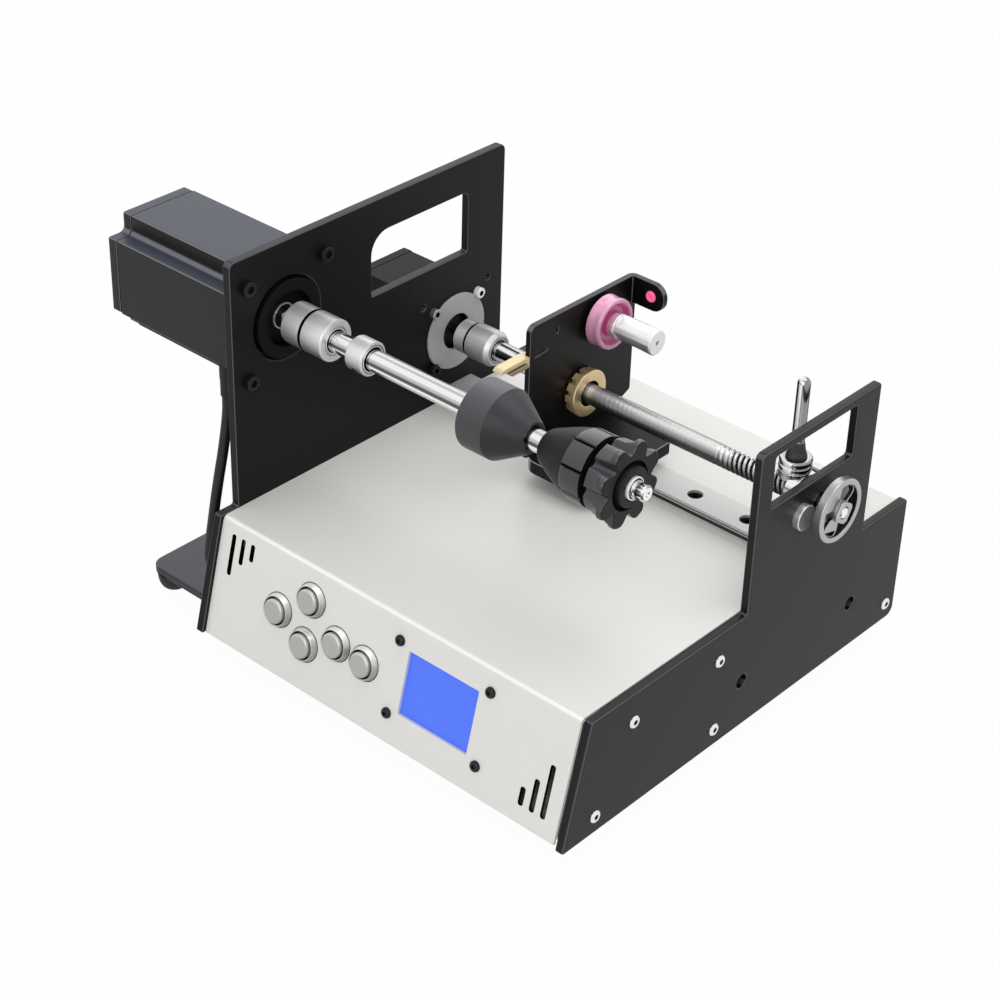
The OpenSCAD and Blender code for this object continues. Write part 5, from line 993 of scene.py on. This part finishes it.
def carriage():
    # Slab on the rail with skirts down its sides
    plan = outline([(77, 131, 8), (118.5, 131, 8), (118.5, 191, 2), (77, 191, 2)], 10)
    skirts = [slab([box_outline(82, y, 113.5, y + 4, 0.3)], (0, 0, 59.9), XDIR, YDIR, 6, 0.1)
        for y in (158.2, 179.8)]
    build("carriage_slab", "slab", [slab([plan], (0, 0, 64.9), XDIR, YDIR, 6.6, 0.5)] + skirts, "carriage_base",
        "carriage", weighted=True)

    # Guide plate and arm: one sheet that turns a corner, cut along the bend and then bent
    near, thick, front, top = 77, 3, 131, 140.6
    far = near + thick
    low, bend, inner = 126.3, 202.4, 0.6
    bend_l = 2.1 * math.pi / 2
    after = bend + bend_l
    end = after + 99 - far - inner
    loops = [outline([(front, 71.5, 0.3), (191, 71.5, 0.3), (206, 78.1, 2), (206, low - 0.6, 0.2),
        (bend, low - 0.6, 0.1), (bend, low, 0.1), (end, low, 6.7), (end, top, 6.7), (front, top, 4)]),
        circle(*SCREW, 6.62, 48), circle(*PULLEY, 3.02, 32),
        outline([(134.4, 123.6, 0.5), (143, 124.4, 0.5), (143.6, 125.8, 0.5), (135.2, 126.6, 0.5)], 3),
        outline([(148.9, 130.2, 0.6), (150.2, 130.8, 0.6), (150.4, 133.8, 0.6), (149.2, 134, 0.6)], 3),
        circle(after + 91.2 - far - inner, 133.5, 2.72, 32)]
    verts, faces = cut_across(wall((0, 0), loops, near, thick, 0.45), [bend + bend_l * k / 10 for k in range(11)])

    def bent(p):
        if p.y <= bend or p.z < low - 0.3:
            return p
        q = inner + far - p.x
        if p.y < after:
            a = (p.y - bend) / bend_l * math.pi / 2
            return Vector((far + inner - q * math.cos(a), bend + q * math.sin(a), p.z))
        return Vector((far + inner + p.y - after, bend + q, p.z))

    build("guide_plate_body", "guide", [([bent(p) for p in verts], faces, 0)], "guide_plate guide_arm", "carriage",
        weighted=True)
    build("wire_eyelet_ring", "eyelet", [turned([(-3.7, 1.4), (-3.7, 2.4, 0.3), (-3.3, 2.68), (-3, 2.7), (0, 2.7),
        (0, 3.4), (0.9, 3.1, 0.3), (0.9, 1.5, 0.3), (0, 1, 0.3), (-3, 1)], (91.2, 206, 133.5), YDIR, 48)],
        "wire_eyelet", "carriage")

    # Flanged nut with a castle of slots; its bore mouth is painted dark as shade
    teeth, half, edge = 12, 4.2, 1.2
    mid = 180 / teeth
    steps = [0, 3, 6, mid - half - edge, mid - half - edge / 2, mid - half, mid, mid + half, mid + half
        + edge / 2, mid + half + edge, 2 * mid - 6, 2 * mid - 3]

    def castle(r, t, x):
        if x < 80.9 or x > 84.05 or r < 10:
            return r
        return r - 3.2 * groove_share(t, half, edge, teeth)

    build("lead_nut_body", "brass dark", [around(SCREW, [(72, 5.05), (72, 6.6, 0.3), (80, 6.6), (80, 8.2),
        (80.9, 8.2), (81, 11.5), (84, 11.5), (84.1, 11.5), (84.3, 11.8, 0.1), (86.2, 11.8, 0.3), (86.5, 11.4, 0.2),
        (86.5, 6.4, 0.2), (85.6, 6.2), (85.6, 5.05)], shape=castle, angles=spread(steps, teeth),
        tag=lambda x, r, t: x > 85 and r < 6.45)], "lead_nut", "carriage", 40)

    # Wire finger: two leaves with a slot, joined at the plate by a rounded end; the lower leaf is painted darker as
    # shade
    high, leaf, gap, root = 126, 2.4, 1.1, front - 0.02
    mid, low, bot = high - leaf, high - leaf - gap, high - 2 * leaf - gap
    loop = outline([(root, bot, 0.8), (root, high, 0.8), (front - 17.5, high, 2), (front - 19.5, mid + 0.9, 0.5),
        (front - 18.5, mid, 0.3), (front - 2.3, mid, 0.35), (front - 2.3, low, 0.35), (front - 12.5, low, 0.3),
        (front - 13.5, low - 0.8, 0.5), (front - 11.5, bot, 1.5)], 4)
    finger = join([wall((0, 0), [loop], 74.5, 5.5, 0.35),
        wall((0, 0), [box_outline(front - 1.2, bot, front + 13.8, high, 1.5)], 75.5, 1.5, 0.2)])
    build("wire_finger_strip", "cream tan", [tagged(finger, lambda c: max(p.z for p in c) < mid + 0.02)],
        "wire_finger", "carriage", weighted=True)

    # Pulley axle with a flat on its handle, and its nut
    build("pulley_axle_body", "axle", [around(PULLEY, [(73.8, 0), (73.8, 3), (80, 3), (80, 4.8, 0.2),
        (81.4, 4.8, 0.2), (81.4, 3), (90.2, 3), (90.2, 5.7, 0.3), (92.6, 6.2, 0.3), (92.9, 5.9, 0.1),
        (93.3, 5.9, 0.1), (93.6, 6.2, 0.3), (114.1, 6.2, 0.4), (114.7, 5.7, 0.2), (114.7, 1.1, 0.1), (113.9, 0.9),
        (108.7, 0.9), (108.7, 0)], shape=flatted), wall(PULLEY, [circle(0, 0, 5, 6)], 73.8, 3.2, 0.3)],
        "pulley_axle", "carriage", 30, weighted=True)

    # Pulley: crowned rim with a shallow run for the wire, magenta recess with a raised hub
    x0, x1 = 81.7, 89.9
    build("guide_pulley_body", "pink magenta", [around(PULLEY, [(x0, 3.05), (x0, 11.9, 0.5), (x0 + 0.6, 12.6, 0.4),
        (x0 + 1.5, 12.5, 0.5), (x0 + 4.1, 12.1, 3), (x1 - 1.2, 12.6, 0.8), (x1 - 0.1, 12.3, 0.5), (x1, 11.2, 0.4),
        (x1 - 0.4, 10.4, 0.4), (x1 - 2.4, 8.6, 0.5), (x1 - 2.8, 6.2, 0.4), (x1 - 0.6, 5.7, 0.4),
        (x1 - 0.2, 5, 0.2), (x1 - 0.2, 3.05)], 128, tag=lambda x, r, t: 5.6 < r < 10.6 and x0 + 3 < x < x1 - 0.3)],
        "guide_pulley", "guide_pulley")


# Cable

ROUTE = [(-14, 31.7, 107.9), (-14, 31.5, 101), (-14.2, 30.3, 92), (-14.6, 28.2, 80), (-15, 25.6, 68),
    (-15.5, 23.3, 56), (-16, 21.5, 45), (-16.6, 20, 35), (-17, 19.2, 27.5), (-16.3, 19, 23.2), (-14.4, 19, 19.7),
    (-11.6, 19, 17.3), (-8.6, 19, 16.6), (-6.5, 19, 16.5)]


def smooth_path(route, steps):
    pts = [Vector(p) for p in route]
    out = []
    for i in range(len(pts) - 1):
        a, b = pts[max(i - 1, 0)], pts[i]
        c, d = pts[i + 1], pts[min(i + 2, len(pts) - 1)]
        for k in range(steps):
            s = k / steps
            out.append((2 * b + (c - a) * s + (2 * a - 5 * b + 4 * c - d) * s * s
                + (3 * b - a - 3 * c + d) * s ** 3) / 2)
    out.append(pts[-1])
    return out


def tube(path, r, n):
    verts = []
    last = len(path) - 1
    for i, p in enumerate(path):
        d = (path[min(i + 1, last)] - path[max(i - 1, 0)]).normalized()
        u = d.cross(YDIR).normalized()
        w = d.cross(u)
        verts += [p + u * q.x + w * q.y for q in circle(0, 0, r, n)]
    return verts, tube_faces(last + 1, n), 0


def cable():
    build("motor_cable_tube", "cable", [tube(smooth_path(ROUTE, 5), 2.5, 24)], "motor_cable")
    boot = [(107.9, 0), (107.9, 2.52)]
    for k in range(5):
        z = 108.6 + k * 1.8
        boot += [(z, 2.75 + 0.06 * k), (z + 0.3, 3), (z + 1.2, 3.05), (z + 1.5, 2.8 + 0.06 * k)]
    boot += [(117.9, 3.2), (124.9, 3.2), (124.9, 0)]
    build("cable_gland_boot", "rubber", [turned(boot, (-14, 31.7, 0), ZDIR, 40)], "cable_gland")
    build("cable_grommet_ring", "rubber", [around((19, 16.5),
        [(-6.5, 0), (-6.5, 4.2, 0.3), (-6, 5.6, 0.5), (-5.2, 7, 0.4), (-4.6, 7, 0.3), (-4.5, 4.9), (0, 4.9),
        (0, 0)], 56)], "cable_grommet")


housing()
buttons()
display()
plates()
base()
motors()
spindle()
cones()
lead()
carriage()
cable()


# Painted shade: dark lines along the rail's sides, where its grooves run
def rail_groove_shade():
    rail = NODES["guide_rail"]
    heights = [(rail.matrix_world @ Vector(c)).z for c in rail.bound_box]
    low, tall = min(heights), max(heights) - min(heights)
    nt = M["rail"].node_tree
    b = nt.nodes["Principled BSDF"]
    place = node(nt, "SeparateXYZ", {"Vector": node(nt, "NewGeometry", {}, "Position")}, "Z")
    colour = b.inputs["Base Color"].links[0].from_socket
    for share in (0.34, 0.70):
        painted_shade_line = node(nt, "Math", {0: place, 1: low + tall * share, 2: tall * 0.07}, operation="COMPARE")
        colour = mix(nt, painted_shade_line, colour, linear(52, 52, 54))
    nt.links.new(colour, b.inputs["Base Color"])


rail_groove_shade()

# Materials of the CAD nodes that stay as they are
# The rail's screws take the dark shade colour, painted shade in the rail's holes
for n, m in {"chassis_pan": "sheet", "power_inlet": "inlet", "power_supply": "supply", "control_board": "board",
             "motor_drivers": "cap", "guide_rail": "rail", "rail_screws": "dark"}.items():
    ob = NODES[n]
    ob.data.materials.clear()
    ob.data.materials.append(M[m])


# Floor, light and background

WHITE = (1, 1, 1, 1)
# Strength of the background for rays that light the part, and share of plain white in the floor
SKY = 0.55
FLOOR_WHITE = 0.97


# 1 for rays that should see a white background: the camera's, and those in metal and glass
def white_rays(nt):
    rays = node(nt, "LightPath", {}).node.outputs
    return largest(nt, [rays["Is Camera Ray"], rays["Is Glossy Ray"], rays["Is Transmission Ray"]])


def area(name, place, size, power):
    light = bpy.data.lights.new(name, "AREA")
    light.energy = power
    light.size = size
    o = bpy.data.objects.new(name, light)
    COL.objects.link(o)
    o.location = place
    o.rotation_euler = (Vector((0, 0, 0.08)) - Vector(place)).to_track_quat("-Z", "Y").to_euler()


def studio():
    bpy.ops.mesh.primitive_plane_add(size=12, location=(0, 0, 0))
    floor = bpy.context.object
    floor.name = "floor"
    m, nt, b = nodes_of("floor_white")
    b.inputs["Base Color"].default_value = (0.80, 0.80, 0.80, 1)
    b.inputs["Roughness"].default_value = 0.9
    b.inputs["Specular IOR Level"].default_value = 0.1
    glowing = node(nt, "Emission", {"Color": WHITE, "Strength": 1}, "Emission")
    share = node(nt, "Math", {0: white_rays(nt), 1: FLOOR_WHITE}, operation="MULTIPLY")
    surface = node(nt, "MixShader", {"Fac": share, 1: b.outputs["BSDF"], 2: glowing}, "Shader")
    nt.links.new(surface, nt.nodes["Material Output"].inputs["Surface"])
    floor.data.materials.append(m)
    world = bpy.data.worlds.new("studio")
    world.use_nodes = True
    nt = world.node_tree
    sky = nt.nodes["Background"]
    sky.inputs["Color"].default_value = WHITE
    nt.links.new(ramp(nt, white_rays(nt), 0, 1, SKY, 1), sky.inputs["Strength"])
    bpy.context.scene.world = world
    bpy.context.scene.view_settings.view_transform = "Standard"
    area("key", (0.15, 0.35, 1.6), 1.2, 10.5)
    area("back", (-0.95, 1.15, 1), 1.3, 6.5)
    area("fill", (0.5, -1.6, 0.9), 1.1, 10)


studio()
